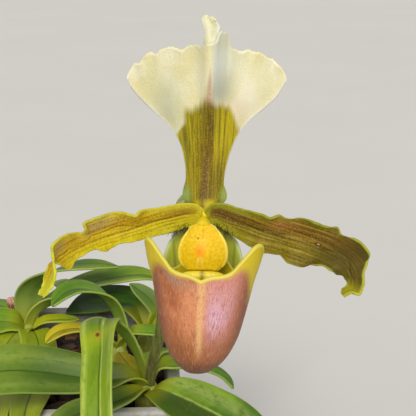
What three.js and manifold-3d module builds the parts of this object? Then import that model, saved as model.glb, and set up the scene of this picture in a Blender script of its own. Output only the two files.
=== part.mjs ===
// A slipper orchid, Paphiopedilum spicerianum, in a square pot: one flower on a leaning scape, above four growths of
// strap leaves that stand in bark. Millimetres, +Z up, the flower faces -Y. The origin is the centre of the pot's foot.
import * as THREE from "three";
import { mergeVertices } from "three/addons/utils/BufferGeometryUtils.js";
import Module from "manifold-3d";

const wasm = await Module();
wasm.setup();

// ---------------------------------------------------------------- driving dimensions
const GAP = 0.3; // clearance between neighbouring solids

const POT = {
  height: 92,
  rimHalf: 48,
  footHalf: 40,
  rimBand: 12,
  rimStep: 1.6,
  corner: 7,
  wall: 3,
  floor: 4.5,
  turn: 3, // degrees about +Z
};
const DRAIN = { radius: 5, out: 20 };
const BARK = { top: 82, rows: 5, spread: 37, chipLength: 14 };

const CROWN_Z = 93.4; // where a growth's leaves part
const CROWN_CORE = { radius: 4.6, topRadius: 2.6, depth: 17, hole: 5.1 };
const CROWNS = {
  front: [38, -25.2],
  left: [-12.5, 23.7],
  middle: [24.8, 5.6],
  back: [35, 20],
};

const LEAF_THICKNESS = 0.9;
const LEAF_ROW = 8; // length of one row of facets
const CREASE_REACH = 0.09; // how far along a leaf its V is pressed flat by a crease, as a share of its length
const LEAF_RECURVE = 0.09; // how far the margins turn back down, as a share of the half width

const FLOWER = { at: [58.2, -129, 184.9], tilt: -8, turn: -4 };
const SEPAL_THICKNESS = 0.8;
const PETAL_THICKNESS = 0.7;
const LIP_THICKNESS = 0.8;

const COLOURS = {
  clay: 0x8d8c86,
  bark: 0x3a2a1e,
  leaf: 0x4f7d1c,
  yellowLeaf: 0xb5a53a,
  sheath: 0x8a9a3c,
  stalk: 0x5d5a33,
  dry: 0x8a5a3c,
  dorsal: 0xe6e6c4,
  synsepal: 0x9aa84a,
  petal: 0x9a8a2a,
  lip: 0xc07a5a,
  column: 0xd8c832,
  staminode: 0xf2cc10,
};

// ---------------------------------------------------------------- small helpers
const radians = THREE.MathUtils.degToRad;
const clamp = THREE.MathUtils.clamp;
const vector = (p) => new THREE.Vector3(...p);
const bell = (x, centre, width) => Math.exp(-(((x - centre) / width) ** 2));
const ease = (from, to, x) => THREE.MathUtils.smoothstep(x, from, to);

// A smooth curve through [x, y] knots, as a function of x.
function profile(knots) {
  const slope = (i) => {
    const a = knots[Math.max(i - 1, 0)];
    const b = knots[Math.min(i + 1, knots.length - 1)];
    return (b[1] - a[1]) / (b[0] - a[0]);
  };
  return (x) => {
    let i = 0;
    while (i < knots.length - 2 && x > knots[i + 1][0]) i++;
    const [x0, y0] = knots[i];
    const [x1, y1] = knots[i + 1];
    const w = x1 - x0;
    const t = clamp((x - x0) / w, 0, 1);
    const h = t * t * (3 - 2 * t);
    const bend = t * (1 - t) * w * ((1 - t) * slope(i) - t * slope(i + 1));
    return y0 + (y1 - y0) * h + bend;
  };
}

// A closed mesh from vertices and triangles, turned so that its faces point out.
function closed(vertices, triangles) {
  const [a, b, c] = [new THREE.Vector3(), new THREE.Vector3(), new THREE.Vector3()];
  let volume = 0;
  for (const [i, j, k] of triangles) {
    volume += a.copy(vertices[i]).dot(b.copy(vertices[j]).cross(c.copy(vertices[k])));
  }
  const faces = volume < 0 ? triangles.map(([i, j, k]) => [i, k, j]) : triangles;
  const geometry = new THREE.BufferGeometry().setFromPoints(vertices);
  geometry.setIndex(faces.flat());
  return geometry;
}

// A thin curved sheet of even thickness. place(u, v) is its middle surface, with u from 0 to 1 and v from -1 to 1.
function sheet(rows, columns, place, thickness) {
  const STEP = 0.004;
  const vertices = [[], []];
  for (let i = 0; i <= rows; i++) {
    for (let j = 0; j <= columns; j++) {
      const u = i / rows;
      const v = (2 * j) / columns - 1;
      const along = place(Math.min(u + STEP, 1), v).sub(place(Math.max(u - STEP, 0), v));
      const across = place(u, Math.min(v + STEP, 1)).sub(place(u, Math.max(v - STEP, -1)));
      const half = along.cross(across).normalize().multiplyScalar(thickness / 2);
      vertices[0].push(place(u, v).add(half));
      vertices[1].push(place(u, v).sub(half));
    }
  }
  const width = columns + 1;
  const under = vertices[0].length;
  const triangles = [];
  const quad = (a, b, c, d) => triangles.push([a, b, c], [b, d, c]);
  for (let i = 0; i < rows; i++) {
    for (let j = 0; j < columns; j++) {
      const a = i * width + j;
      quad(a, a + 1, a + width, a + width + 1);
      triangles.push([under + a, under + a + width, under + a + 1]);
      triangles.push([under + a + 1, under + a + width, under + a + width + 1]);
    }
  }
  for (let i = 0; i < rows; i++) {
    const a = i * width;
    quad(a, a + width, under + a, under + a + width);
    quad(a + columns + width, a + columns, under + a + columns + width, under + a + columns);
  }
  for (let j = 0; j < columns; j++) {
    const top = rows * width + j;
    quad(j + 1, j, under + j + 1, under + j);
    quad(top, top + 1, under + top, under + top + 1);
  }
  return closed(vertices.flat(), triangles);
}

// A route through points, with a side and an up direction carried along it without twisting.
class Spine {
  constructor(points, side) {
    const curve = new THREE.CatmullRomCurve3(points.map(vector), false, "catmullrom", 0.5);
    this.steps = 90;
    this.length = curve.getLength();
    this.frames = [];
    const carried = vector(side);
    for (let i = 0; i <= this.steps; i++) {
      const u = i / this.steps;
      const tangent = curve.getTangentAt(u).normalize();
      carried.addScaledVector(tangent, -carried.dot(tangent)).normalize();
      this.frames.push({ point: curve.getPointAt(u), tangent, side: carried.clone() });
    }
  }

  // The frame at a share u of the length: its point, its side and its up direction, rolled about the route.
  at(u, roll = 0) {
    const x = clamp(u, 0, 1) * this.steps;
    const i = Math.min(Math.floor(x), this.steps - 1);
    const [a, b] = [this.frames[i], this.frames[i + 1]];
    const mix = (key) => a[key].clone().lerp(b[key], x - i);
    const tangent = mix("tangent").normalize();
    const side = mix("side").normalize();
    const up = side.clone().cross(tangent);
    const turned = side.multiplyScalar(Math.cos(roll)).addScaledVector(up, Math.sin(roll));
    return { point: mix("point"), side: turned, up: turned.clone().cross(tangent) };
  }
}

// A round or ribbed tube along a spine, closed at both ends. radius(u, angle) is its radius.
function tube(spine, rings, sides, radius) {
  const vertices = [];
  for (let i = 0; i <= rings; i++) {
    const u = i / rings;
    const { point, side, up } = spine.at(u);
    for (let k = 0; k < sides; k++) {
      const angle = (2 * Math.PI * k) / sides;
      const r = radius(u, angle);
      const out = side.clone().multiplyScalar(r * Math.cos(angle));
      vertices.push(out.addScaledVector(up, r * Math.sin(angle)).add(point));
    }
  }
  const triangles = [];
  for (let i = 0; i < rings; i++) {
    for (let k = 0; k < sides; k++) {
      const [a, b] = [i * sides + k, i * sides + ((k + 1) % sides)];
      triangles.push([a, b, a + sides], [b, b + sides, a + sides]);
    }
  }
  const first = vertices.push(spine.at(0).point) - 1;
  const last = vertices.push(spine.at(1).point) - 1;
  for (let k = 0; k < sides; k++) {
    const next = (k + 1) % sides;
    triangles.push([first, next, k], [last, rings * sides + k, rings * sides + next]);
  }
  return closed(vertices, triangles);
}

// ---------------------------------------------------------------- joining and cutting
function solid(geometry) {
  const bare = geometry.clone();
  bare.deleteAttribute("normal");
  bare.deleteAttribute("uv");
  const merged = mergeVertices(bare, 1e-4);
  const vertProperties = new Float32Array(merged.attributes.position.array);
  const triVerts = new Uint32Array(merged.index.array);
  return new wasm.Manifold(new wasm.Mesh({ numProp: 3, vertProperties, triVerts }));
}

function geometryOf(made) {
  const { numProp, vertProperties, triVerts } = made.getMesh();
  const position = new Float32Array((vertProperties.length / numProp) * 3);
  for (let i = 0; i < position.length / 3; i++) {
    position.set(vertProperties.subarray(i * numProp, i * numProp + 3), i * 3);
  }
  const geometry = new THREE.BufferGeometry();
  geometry.setAttribute("position", new THREE.BufferAttribute(position, 3));
  geometry.setIndex(new THREE.BufferAttribute(new Uint32Array(triVerts), 1));
  return geometry;
}

const join = (geometries) => geometryOf(geometries.map(solid).reduce((a, b) => a.add(b)));

// Cutting can leave loose slivers, so only the largest body is kept.
function cut(geometry, tools) {
  const bodies = tools.map(solid).reduce((a, b) => a.subtract(b), solid(geometry)).decompose();
  return geometryOf(bodies.sort((a, b) => b.volume() - a.volume())[0]);
}

const lathe = (points, sides) => {
  const outline = points.map(([r, z]) => new THREE.Vector2(r, z));
  return new THREE.LatheGeometry(outline, sides).rotateX(Math.PI / 2);
};

// A repeatable run of numbers from 0 to 1.
function randomFrom(seed) {
  let state = seed;
  return () => {
    state = (state * 1664525 + 1013904223) % 4294967296;
    return state / 4294967296;
  };
}

const plant = new THREE.Group();
const bloom = new THREE.Group();

function add(group, name, geometry, colour, roughness = 0.6) {
  const material = new THREE.MeshStandardMaterial({ color: colour, roughness, metalness: 0 });
  const mesh = new THREE.Mesh(geometry, material);
  mesh.name = name;
  group.add(mesh);
  return mesh;
}

// ---------------------------------------------------------------- pot and bark
// A square ring with rounded corners at height z.
function squareRing(half, corner, z) {
  const STEPS = 4;
  const ring = [];
  for (const [sx, sy, start] of [[1, 1, 0], [-1, 1, 90], [-1, -1, 180], [1, -1, 270]]) {
    for (let i = 0; i <= STEPS; i++) {
      const angle = radians(start + (90 * i) / STEPS);
      const x = sx * (half - corner) + corner * Math.cos(angle);
      const y = sy * (half - corner) + corner * Math.sin(angle);
      ring.push(new THREE.Vector3(x, y, z));
    }
  }
  return ring;
}

// A closed solid from a run of rings, its first and last ring each closed to their middle.
function rings(loops) {
  const count = loops[0].length;
  const vertices = loops.flat();
  const middle = (loop) => loop.reduce((sum, p) => sum.add(p), new THREE.Vector3()).divideScalar(count);
  const first = vertices.push(middle(loops[0])) - 1;
  const last = vertices.push(middle(loops[loops.length - 1])) - 1;
  const end = (loops.length - 1) * count;
  const triangles = [];
  for (let k = 0; k < count; k++) {
    const next = (k + 1) % count;
    triangles.push([first, next, k], [last, end + k, end + next]);
    for (let i = 0; i < end; i += count) {
      triangles.push([i + k, i + next, i + count + k], [i + next, i + count + next, i + count + k]);
    }
  }
  return closed(vertices, triangles);
}

const innerHalf = (z) => {
  const share = (z - POT.floor) / (POT.height - POT.floor);
  return THREE.MathUtils.lerp(POT.footHalf, POT.rimHalf - POT.rimStep, share) - POT.wall;
};
const innerCorner = POT.corner - POT.wall + 0.6;

function potGeometry() {
  const { height, rimHalf, footHalf, rimBand, rimStep, corner, floor } = POT;
  const bandFoot = height - rimBand;
  const outside = [
    [footHalf - 1.2, 0],
    [footHalf, 1.2],
    [rimHalf - rimStep - 1, bandFoot - 1],
    [rimHalf - 0.6, bandFoot],
    [rimHalf, bandFoot + 1],
    [rimHalf, height - 1.2],
    [rimHalf - 1.2, height],
  ];
  const loops = outside.map(([half, z]) => squareRing(half, corner, z));
  loops.push(squareRing(innerHalf(height) + 1, innerCorner + 1, height));
  loops.push(squareRing(innerHalf(height - 1), innerCorner, height - 1));
  loops.push(squareRing(innerHalf(floor), innerCorner, floor));
  const drains = [];
  for (const angle of [45, 135, 225, 315]) {
    const hole = new THREE.CylinderGeometry(DRAIN.radius, DRAIN.radius, 3 * floor, 12);
    hole.rotateX(Math.PI / 2).translate(DRAIN.out, 0, floor / 2).rotateZ(radians(angle));
    drains.push(hole);
  }
  return cut(rings(loops), drains).rotateZ(radians(POT.turn));
}

function barkGeometry() {
  const random = randomFrom(7);
  const foot = POT.floor + GAP;
  const bed = rings([
    squareRing(innerHalf(foot) - GAP, innerCorner, foot),
    squareRing(innerHalf(BARK.top) - GAP, innerCorner, BARK.top),
  ]);
  const chips = [];
  for (let i = 0; i < BARK.rows; i++) {
    for (let j = 0; j < BARK.rows; j++) {
      const spot = (k) => BARK.spread * ((2 * (k + 0.3 + 0.4 * random())) / BARK.rows - 1);
      const [x, y] = [spot(i), spot(j)];
      const length = BARK.chipLength * (0.6 + 0.5 * random());
      const chip = new THREE.BoxGeometry(length, length * (0.5 + 0.3 * random()), 4 + 2.4 * random());
      chip.rotateX(0.5 * (random() - 0.5));
      chip.rotateY(0.5 * (random() - 0.5));
      chip.rotateZ(Math.PI * random());
      chip.translate(x, y, BARK.top + 0.4);
      chips.push(chip);
    }
  }
  const depth = CROWN_CORE.depth + GAP;
  const holes = Object.values(CROWNS).map(([x, y]) => {
    const hole = new THREE.CylinderGeometry(CROWN_CORE.hole, CROWN_CORE.hole, 2 * depth, 16);
    return hole.rotateX(Math.PI / 2).translate(x, y, CROWN_Z);
  });
  const turned = join([bed, ...chips]).rotateZ(radians(POT.turn));
  return cut(turned, holes);
}

add(plant, "pot", potGeometry(), COLOURS.clay, 0.8);
add(plant, "potting_bark", barkGeometry(), COLOURS.bark, 0.95);

// ---------------------------------------------------------------- leaves
// Each leaf runs from its crown through points. width is its widest; sheath is the length that is grown into its crown;
// roll turns it about its length, in degrees, at even steps from its crown to its tip. crease is the share of its
// length where it is bent over sharply and pressed flat.
const LEAVES = [
  {
    name: "front_leaf_arching",
    crown: "front",
    width: 13,
    sheath: 13,
    roll: [75, 72, 45, 8, -20, -25, -25, -20, -10],
    crease: 0.34,
    points: [
      [34.5, -25, 100.5], [30.5, -25, 108.5], [26.5, -27, 114.5], [23.5, -33.5, 119.5], [23.5, -40, 120],
      [25, -51.5, 116.5], [25.5, -63, 110.5], [26, -71, 101], [26.5, -78.5, 90], [28, -86, 74],
    ],
  },
  {
    name: "front_leaf_right",
    crown: "front",
    width: 18,
    sheath: 13,
    roll: [-25, -40, -38, -30],
    points: [
      [42.5, -32.5, 94], [49.5, -39.5, 95.5], [56.5, -46.5, 95.5], [63.5, -53, 94.5], [69.5, -60.5, 93],
      [74.5, -69.5, 90.5], [77.5, -80, 84.5],
    ],
  },
  {
    name: "front_leaf_inner",
    crown: "front",
    width: 12,
    sheath: 14,
    roll: [0, 0, 0],
    points: [
      [41.5, -22.5, 96], [47, -22, 97], [53.5, -23, 97.5], [59.5, -24.5, 96.5], [64.5, -28, 95.5],
      [67.5, -31.5, 93.5],
    ],
  },
  {
    name: "front_leaf_rear",
    crown: "front",
    width: 11,
    sheath: 12,
    roll: [0, 0],
    points: [
      [39, -18, 97], [42, -13.5, 97.5], [46.5, -9.5, 97], [52.5, -7.5, 94.5], [57, -5.5, 90],
    ],
  },
  {
    name: "front_leaf_left",
    crown: "front",
    width: 18.5,
    sheath: 15,
    roll: [0, 35, 50, 50, 35],
    points: [
      [32, -28.5, 96], [23, -33, 99.5], [13.5, -37, 102.5], [3.5, -42.5, 105.5], [-6, -51, 108.5],
      [-15.5, -61, 110], [-23, -73, 109],
    ],
  },
  {
    name: "front_leaf_low",
    crown: "front",
    width: 12,
    sheath: 13,
    roll: [0, 10, 10],
    points: [
      [35, -32, 92], [29.5, -41, 93.5], [24, -49.5, 95.5], [18.5, -57.5, 97.5], [13.5, -66.5, 98],
      [9, -76.5, 96],
    ],
  },
  {
    name: "front_leaf_yellowed",
    crown: "front",
    width: 9,
    sheath: 13,
    roll: [0, 0],
    yellow: true,
    points: [
      [32.5, -20, 94], [29, -14, 95.5], [26, -9.5, 97],
    ],
  },
  {
    name: "left_leaf_tall",
    crown: "left",
    width: 14,
    sheath: 14,
    roll: [75, 70, 25, 0, 0],
    points: [
      [-12.5, 25.5, 99.5], [-12, 26.5, 105], [-8.5, 26.5, 111], [-2.5, 26, 115.5], [6.5, 25, 118.5],
      [16, 25, 119], [24, 24.5, 118],
    ],
  },
  {
    name: "left_leaf_crossing",
    crown: "left",
    width: 15,
    sheath: 15,
    roll: [40, 20, 0, 0],
    points: [
      [-9, 26, 97.5], [-2.5, 30, 101], [5.5, 33, 105], [14, 36, 107.5], [23.5, 37.5, 109],
      [32.5, 36.5, 110], [39.5, 34.5, 109],
    ],
  },
  {
    name: "left_leaf_short",
    crown: "left",
    width: 9,
    sheath: 14,
    roll: [0, 0],
    points: [
      [-6.5, 22.5, 95], [-1.5, 23, 96], [3.5, 23.5, 96], [8, 24.5, 96],
    ],
  },
  {
    name: "left_leaf_forward_inner",
    crown: "left",
    width: 11.5,
    sheath: 15,
    roll: [0, 0],
    points: [
      [-8.5, 13.5, 95], [-4.5, 1, 95], [-2.5, -13.5, 94], [-1.5, -30.5, 93], [-0.5, -50, 94.5],
      [0.5, -67.5, 92],
    ],
  },
  {
    name: "left_leaf_forward",
    crown: "left",
    width: 12,
    sheath: 14,
    roll: [0, 0],
    points: [
      [-14.5, 14.5, 94.5], [-17, 3, 94], [-16, -11.5, 94], [-13.5, -29.5, 93], [-10.5, -49, 94],
      [-8, -66.5, 91],
    ],
  },
  {
    name: "left_leaf_side",
    crown: "left",
    width: 16,
    sheath: 14,
    roll: [20, 30, 30],
    points: [
      [-15.5, 18, 98.5], [-21, 16.5, 101], [-29, 14.5, 101.5], [-40, 11, 99.5], [-50, 4.5, 95],
    ],
  },
  {
    name: "left_leaf_rear",
    crown: "left",
    width: 15,
    sheath: 15,
    roll: [0, 0],
    points: [
      [-18.5, 33, 94], [-27, 44.5, 93.5], [-39, 56.5, 92], [-52.5, 67.5, 87.5], [-66.5, 75.5, 78.5],
    ],
  },
  {
    name: "left_leaf_back",
    crown: "left",
    width: 14,
    sheath: 14,
    roll: [0, 0],
    points: [
      [-13, 37, 98.5], [-10.5, 52, 99.5], [-6.5, 68, 95], [-3, 82, 84],
    ],
  },
  {
    name: "middle_leaf_arching",
    crown: "middle",
    width: 14.5,
    sheath: 13,
    roll: [40, 20, 10, 0],
    points: [
      [25, 6, 99.5], [23, 6, 107], [20, 3.5, 113.5], [15.5, -0.5, 117.5], [10, -5.5, 119.5],
      [6.5, -9.5, 118.5], [4, -13.5, 116.5],
    ],
  },
  {
    name: "middle_leaf_right",
    crown: "middle",
    width: 13,
    sheath: 14,
    roll: [0, 0],
    points: [
      [29.5, 5.5, 96.5], [35, 5, 98], [41, 5, 97.5], [46, 3.5, 96], [50, 1.5, 93],
    ],
  },
  {
    name: "middle_leaf_yellowed",
    crown: "middle",
    width: 9,
    sheath: 12,
    roll: [0, 20],
    yellow: true,
    points: [
      [21, 4, 95.5], [16, 2.5, 99], [10.5, 0, 102], [5, -3, 102.5], [2, -5.5, 101.5],
      [0, -8.5, 100],
    ],
  },
  {
    name: "back_leaf_upright",
    crown: "back",
    width: 12,
    sheath: 13,
    roll: [50, 60, 60],
    points: [
      [37, 20.5, 96.5], [36, 21.5, 101.5], [32.5, 22, 106.5], [28.5, 22.5, 111.5],
    ],
  },
  {
    name: "back_leaf_left",
    crown: "back",
    width: 17,
    sheath: 16,
    roll: [0, 40, 45],
    points: [
      [30.5, 30, 98], [25, 35.5, 98.5], [17, 39.5, 97.5], [8.5, 42, 95.5], [0, 43, 91.5],
    ],
  },
  {
    name: "back_leaf_rear",
    crown: "back",
    width: 13,
    sheath: 16,
    roll: [0, 0],
    points: [
      [41, 31, 101], [46, 47, 104.5], [53, 66, 106.5], [60, 86, 101], [64, 102, 88],
    ],
  },
  {
    name: "back_leaf_right",
    crown: "back",
    width: 13,
    sheath: 14,
    roll: [0, 0],
    points: [
      [46, 19, 98.5], [54, 21.5, 101], [62, 25.5, 98.5], [67, 29, 90],
    ],
  },
];

const leafWidth = profile([
  [0, 0.42], [0.1, 0.66], [0.25, 0.94], [0.5, 1], [0.72, 0.93], [0.87, 0.68], [0.95, 0.38], [1, 0.08],
]);
const leafFold = profile([[0, 62], [0.15, 42], [0.4, 25], [1, 14]]);

// The middle surface of a leaf: v is 0 on its midrib and -1 and 1 on its margins.
function leafSurface(leaf) {
  const [x, y] = CROWNS[leaf.crown];
  const base = [x, y, CROWN_Z - 5];
  const tip = leaf.points[leaf.points.length - 1];
  const spine = new Spine([base, ...leaf.points], [tip[1] - y, x - tip[0], 0]);
  const rollAt = profile(leaf.roll.map((angle, i) => [i / (leaf.roll.length - 1), radians(angle)]));
  const place = (u, v) => {
    const { point, side, up } = spine.at(u, rollAt(u));
    const half = (leaf.width / 2) * leafWidth(u);
    const fold = radians(leafFold(u)) * (1 - bell(u, leaf.crease ?? -1, CREASE_REACH));
    point.addScaledVector(side, half * v * Math.cos(fold));
    const lift = Math.abs(v) * Math.sin(fold) - LEAF_RECURVE * v ** 4;
    return point.addScaledVector(up, half * lift);
  };
  return { spine, place };
}

const sheathParts = Object.fromEntries(Object.keys(CROWNS).map((name) => [name, []]));
for (const leaf of LEAVES) {
  const { spine, place } = leafSurface(leaf);
  const parting = leaf.sheath / spine.length;
  const start = parting + GAP / spine.length;
  const blade = (u, v) => place(start + (1 - start) * u, v);
  const sheath = (u, v) => place(parting * u, v);
  const colour = leaf.yellow ? COLOURS.yellowLeaf : COLOURS.leaf;
  const rows = clamp(Math.round(spine.length / LEAF_ROW), 6, 12);
  add(plant, leaf.name, sheet(rows, 4, blade, LEAF_THICKNESS), colour, 0.45);
  sheathParts[leaf.crown].push(sheet(2, 2, sheath, LEAF_THICKNESS));
}

// The scape rises out of the front growth, and a dry stub of an old scape out of the left one. Each stands in a bore.
const SCAPE_ROUTE = [
  [38.4, -25.6, 90.5], [39.8, -29.5, 102], [42.6, -36.5, 114], [46, -53, 139], [49.8, -75, 160], [53.1, -93.9, 172.1],
];
const STUB_ROUTE = [[-15.6, 26, 88], [-17.8, 27.6, 95], [-20, 28.8, 103.5]];
const scapeRadius = (u) => 1.9 - 0.25 * u;
const stubRadius = (u) => 1.7 - 0.3 * u;

function rod(route, radius, rings, spare = 0) {
  const lower = vector(route[0]).lerp(vector(route[1]), -spare / vector(route[0]).distanceTo(vector(route[1])));
  const spine = new Spine([lower.toArray(), ...route.slice(1)], [1, 0, 0]);
  return tube(spine, rings, 8, (u) => radius(u) + spare);
}
const bores = {
  front: [rod(SCAPE_ROUTE, scapeRadius, 14, GAP)],
  left: [rod(STUB_ROUTE, stubRadius, 4, GAP)],
  middle: [],
  back: [],
};
add(plant, "scape", rod(SCAPE_ROUTE, scapeRadius, 14), COLOURS.stalk);
add(plant, "old_scape_stub", rod(STUB_ROUTE, stubRadius, 4), COLOURS.dry);

for (const [name, [x, y]] of Object.entries(CROWNS)) {
  const { radius, topRadius, depth } = CROWN_CORE;
  const foot = CROWN_Z - depth;
  const core = lathe(
    [
      [0, foot],
      [radius - 1, foot],
      [radius, foot + 1],
      [radius, CROWN_Z - 6],
      [topRadius, CROWN_Z],
      [0, CROWN_Z + 1],
    ],
    10,
  ).translate(x, y, 0);
  add(plant, `${name}_growth_base`, cut(join([core, ...sheathParts[name]]), bores[name]), COLOURS.sheath, 0.6);
}

// ---------------------------------------------------------------- flower
// In the flower's own frame -Y is forward, +X is to the right as seen from its front, and Z is up.
const dorsalLeft = profile([
  [2.6, 5.2], [4, 5.3], [7, 4.7], [11.5, 5.3], [15, 6.4], [18.5, 8.6], [21.4, 11.8], [24.7, 15.3], [27.3, 17.5], [29.5, 18.4],
]);
const dorsalRight = profile([
  [2.6, 4.5], [3.8, 4.5], [6, 3.8], [10.3, 4.4], [14.9, 5.8], [17.6, 7.2], [20.5, 9.8], [23.2, 13], [25.9, 15.8], [29.5, 17.9],
]);
const DORSAL = { foot: 2.6, shoulder: 29.5, crest: 7.4, tip: 6.8 };

// Columns lie closer together near the middle, where the sepal is folded and pointed.
function dorsalSurface(u, s) {
  const v = s * (0.5 + 0.5 * s * s);
  const margin = Math.sqrt(Math.max(1 - Math.abs(v) ** 2.6, 0));
  const edge = THREE.MathUtils.lerp(DORSAL.foot, DORSAL.shoulder, u);
  const fan = u ** 3;
  const fold = ease(0.3, 1, u) * (v > 0.04 ? bell(v, 0.04, 0.2) : bell(v, 0.04, 0.13));
  const main = Math.exp(-(((v - 0.055) / 0.085) ** 4));
  const second = Math.exp(-(((v - 0.215) / 0.06) ** 4));
  const point = ease(0.8, 1, u) * (main + 0.42 * second);
  const scallop = 0.35 * u ** 8 * Math.sin(24 * v + 0.6) * Math.abs(v);
  const z = edge + DORSAL.crest * fan * margin + DORSAL.tip * point + scallop;
  const x = (v < 0 ? dorsalLeft(edge) : dorsalRight(edge)) * v - 0.9 * point * point;
  const swept = (3 + 4.5 * u) * Math.abs(v) ** 1.7;
  const lean = 1.6 + 3.2 * Math.sin(Math.PI * u * 0.8) - 5 * fan;
  const ruffle = 0.6 * u ** 6 * Math.sin(26 * v) * Math.abs(v);
  return new THREE.Vector3(x, lean + swept - 4.4 * fold + ruffle - 1.4 * point, z);
}

const synsepalHalfWidth = profile([
  [0, 3.4], [0.05, 6], [0.12, 8.4], [0.3, 9.8], [0.5, 9.4], [0.7, 7.6], [0.88, 4.4], [1, 1.2],
]);
const synsepalDepth = profile([[0, 3.6], [0.2, 4.6], [0.45, 6.6], [0.75, 7], [1, 4.6]]);

function synsepalSurface(u, v) {
  const cupped = 3.2 * Math.sin(Math.PI * clamp(u * 1.1, 0, 1)) * v * v;
  return new THREE.Vector3(synsepalHalfWidth(u) * v, synsepalDepth(u) - cupped, -3.6 - 31 * u);
}

// A petal lies between its upper and its lower margin. Its tip turns over, where the margins cross.
const PETALS = {
  petal_left: {
    upper: [
      [-1.3, 0.6, 2.2], [-5.1, 0.3, 2.1], [-10, -0.3, 1.2], [-13.9, -1.3, 0.7], [-15.1, -1.7, -0.3], [-16.5, -2.1, -0.1],
      [-19.1, -3, 0.5], [-22, -4.2, -0.1], [-23.8, -4.9, -0.6], [-25.9, -6.2, -1.5], [-25.7, -6, -2.7],
      [-26.5, -6.4, -3.8], [-28, -7.3, -3.8], [-29.5, -8.9, -3.8], [-31.2, -10.8, -4.9], [-32, -11.6, -6.2],
      [-31.9, -11.9, -8.7], [-31.4, -12, -11.1], [-31.4, -12, -13.2], [-32.4, -11.6, -15.6], [-34, -11.2, -17.7],
    ],
    lower: [
      [-1.5, 0.6, -2.4], [-5.1, 0.3, -3.9], [-7.7, 0.2, -4.7], [-11.1, -0.6, -5.5], [-13.2, -1.2, -6.1],
      [-16.1, -2, -6.5], [-18.8, -2.9, -6.8], [-20.5, -3.5, -7.9], [-21.8, -4.1, -8.6], [-23.7, -4.9, -8],
      [-25.8, -6.1, -8.6], [-27.8, -7.3, -10.1], [-28.6, -7.8, -11.6], [-29.4, -8.1, -12], [-30.5, -8.4, -11.4],
      [-31.9, -8.8, -10.3], [-33.3, -9.6, -10.7], [-34.2, -10.4, -12.8], [-34.6, -10.9, -15], [-35.6, -11.3, -17.1],
    ],
    ripple: 0.9,
    phase: 0.4,
  },
  petal_right: {
    upper: [
      [1.3, 0.5, 2.2], [4.4, 0.4, 2.3], [8.2, 0.2, 1.2], [12.8, -0.8, 0.4], [14.8, -1.2, -0.4], [16.8, -1.7, 0.2],
      [18.8, -2.1, -0.6], [21.3, -2.7, -0.1], [24.1, -3.6, -0.5], [27.4, -4.7, -1.7], [29.5, -5.8, -1.6],
      [30.5, -6.2, -3.3], [32.5, -7.4, -3.4], [34.4, -8.3, -4.3], [36.3, -9, -6.6], [36.1, -9.1, -8.6],
      [35.4, -9.2, -10.9], [35.2, -9.8, -13.8], [34.6, -10.2, -15.6], [32.8, -9.6, -15.5], [31.2, -8.8, -16.6],
    ],
    lower: [
      [1.5, 0.5, -2.2], [2.8, 0.5, -3], [7.4, 0.2, -5.8], [10.6, -0.3, -7.4], [13.5, -0.9, -8.6], [17, -1.7, -9],
      [18.7, -2, -10.2], [21.5, -2.7, -11.1], [26, -4.1, -10.5], [28.2, -5, -11.3], [29.4, -5.5, -12],
      [30.9, -6.1, -12.3], [31.7, -6.8, -13.8], [30.9, -7.2, -15], [30.4, -7.6, -15.9],
    ],
    ripple: 1,
    phase: 2.2,
  },
};

function petalSurface(petal) {
  const margin = (points) => new THREE.CatmullRomCurve3(points.map(vector), false, "catmullrom", 0.5);
  const [upper, lower] = [margin(petal.upper), margin(petal.lower)];
  return (u, v) => {
    const point = lower.getPointAt(u).lerp(upper.getPointAt(u), (v + 1) / 2);
    const body = ease(0.1, 0.35, u) * (1 - ease(0.78, 0.9, u));
    const ripple = petal.ripple * Math.abs(v) ** 2 * Math.sin(29 * u + petal.phase + 1.3 * Math.sign(v));
    const channel = 0.9 * v * v * Math.sin(Math.PI * Math.min(u, 0.9));
    point.y += body * (ripple - channel);
    return point;
  };
}

// The lip is a slipper: rings from the toe to the rim, whose height changes round the mouth. Angle 0 is its front.
const LIP_TOE = -33;
const lipHalfWidth = profile([
  [0, 0], [0.3, 1.8], [0.9, 2.9], [2.3, 4.6], [4.4, 6.2], [8, 7.7], [12, 8.8], [16, 9.8], [20, 10.8], [24, 12.1], [27, 12.9],
  [30, 13.1],
]);
const lipHalfDepth = profile([
  [0, 0], [0.3, 1.8], [0.9, 2.9], [2.3, 4.4], [4.4, 5.9], [8, 7.1], [12, 8], [16, 8.6], [20, 9], [26, 9.2], [33, 9],
]);
const lipCentre = profile([[0, -13.5], [10, -12], [20, -10.2], [33, -8.9]]);
const lipLean = profile([[0, -0.4], [3, 0], [12, 0.35], [24, 0.75], [33, 0.75]]);
const lipRim = profile([
  [0, -11.9], [5, -11.4], [12, -10.9], [24, -10.6], [33, -9.9], [40, -8.3], [50, -6.3], [60, -4.9], [72, -4.6], [84, -5.6],
  [100, -8.6], [120, -11.8], [140, -12.8], [156, -10.6], [168, -6], [180, -2.7],
]);

function lipPoint(angle, share) {
  const degrees = Math.abs(THREE.MathUtils.radToDeg(angle));
  const rim = lipRim(degrees) - 0.5 * Math.sin(angle);
  const rise = (rim - LIP_TOE) * share ** 1.7;
  const z = LIP_TOE + rise;
  const x = lipLean(rise) + lipHalfWidth(rise) * Math.sin(angle);
  return new THREE.Vector3(x, lipCentre(rise) - lipHalfDepth(rise) * Math.cos(angle), z);
}

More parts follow.
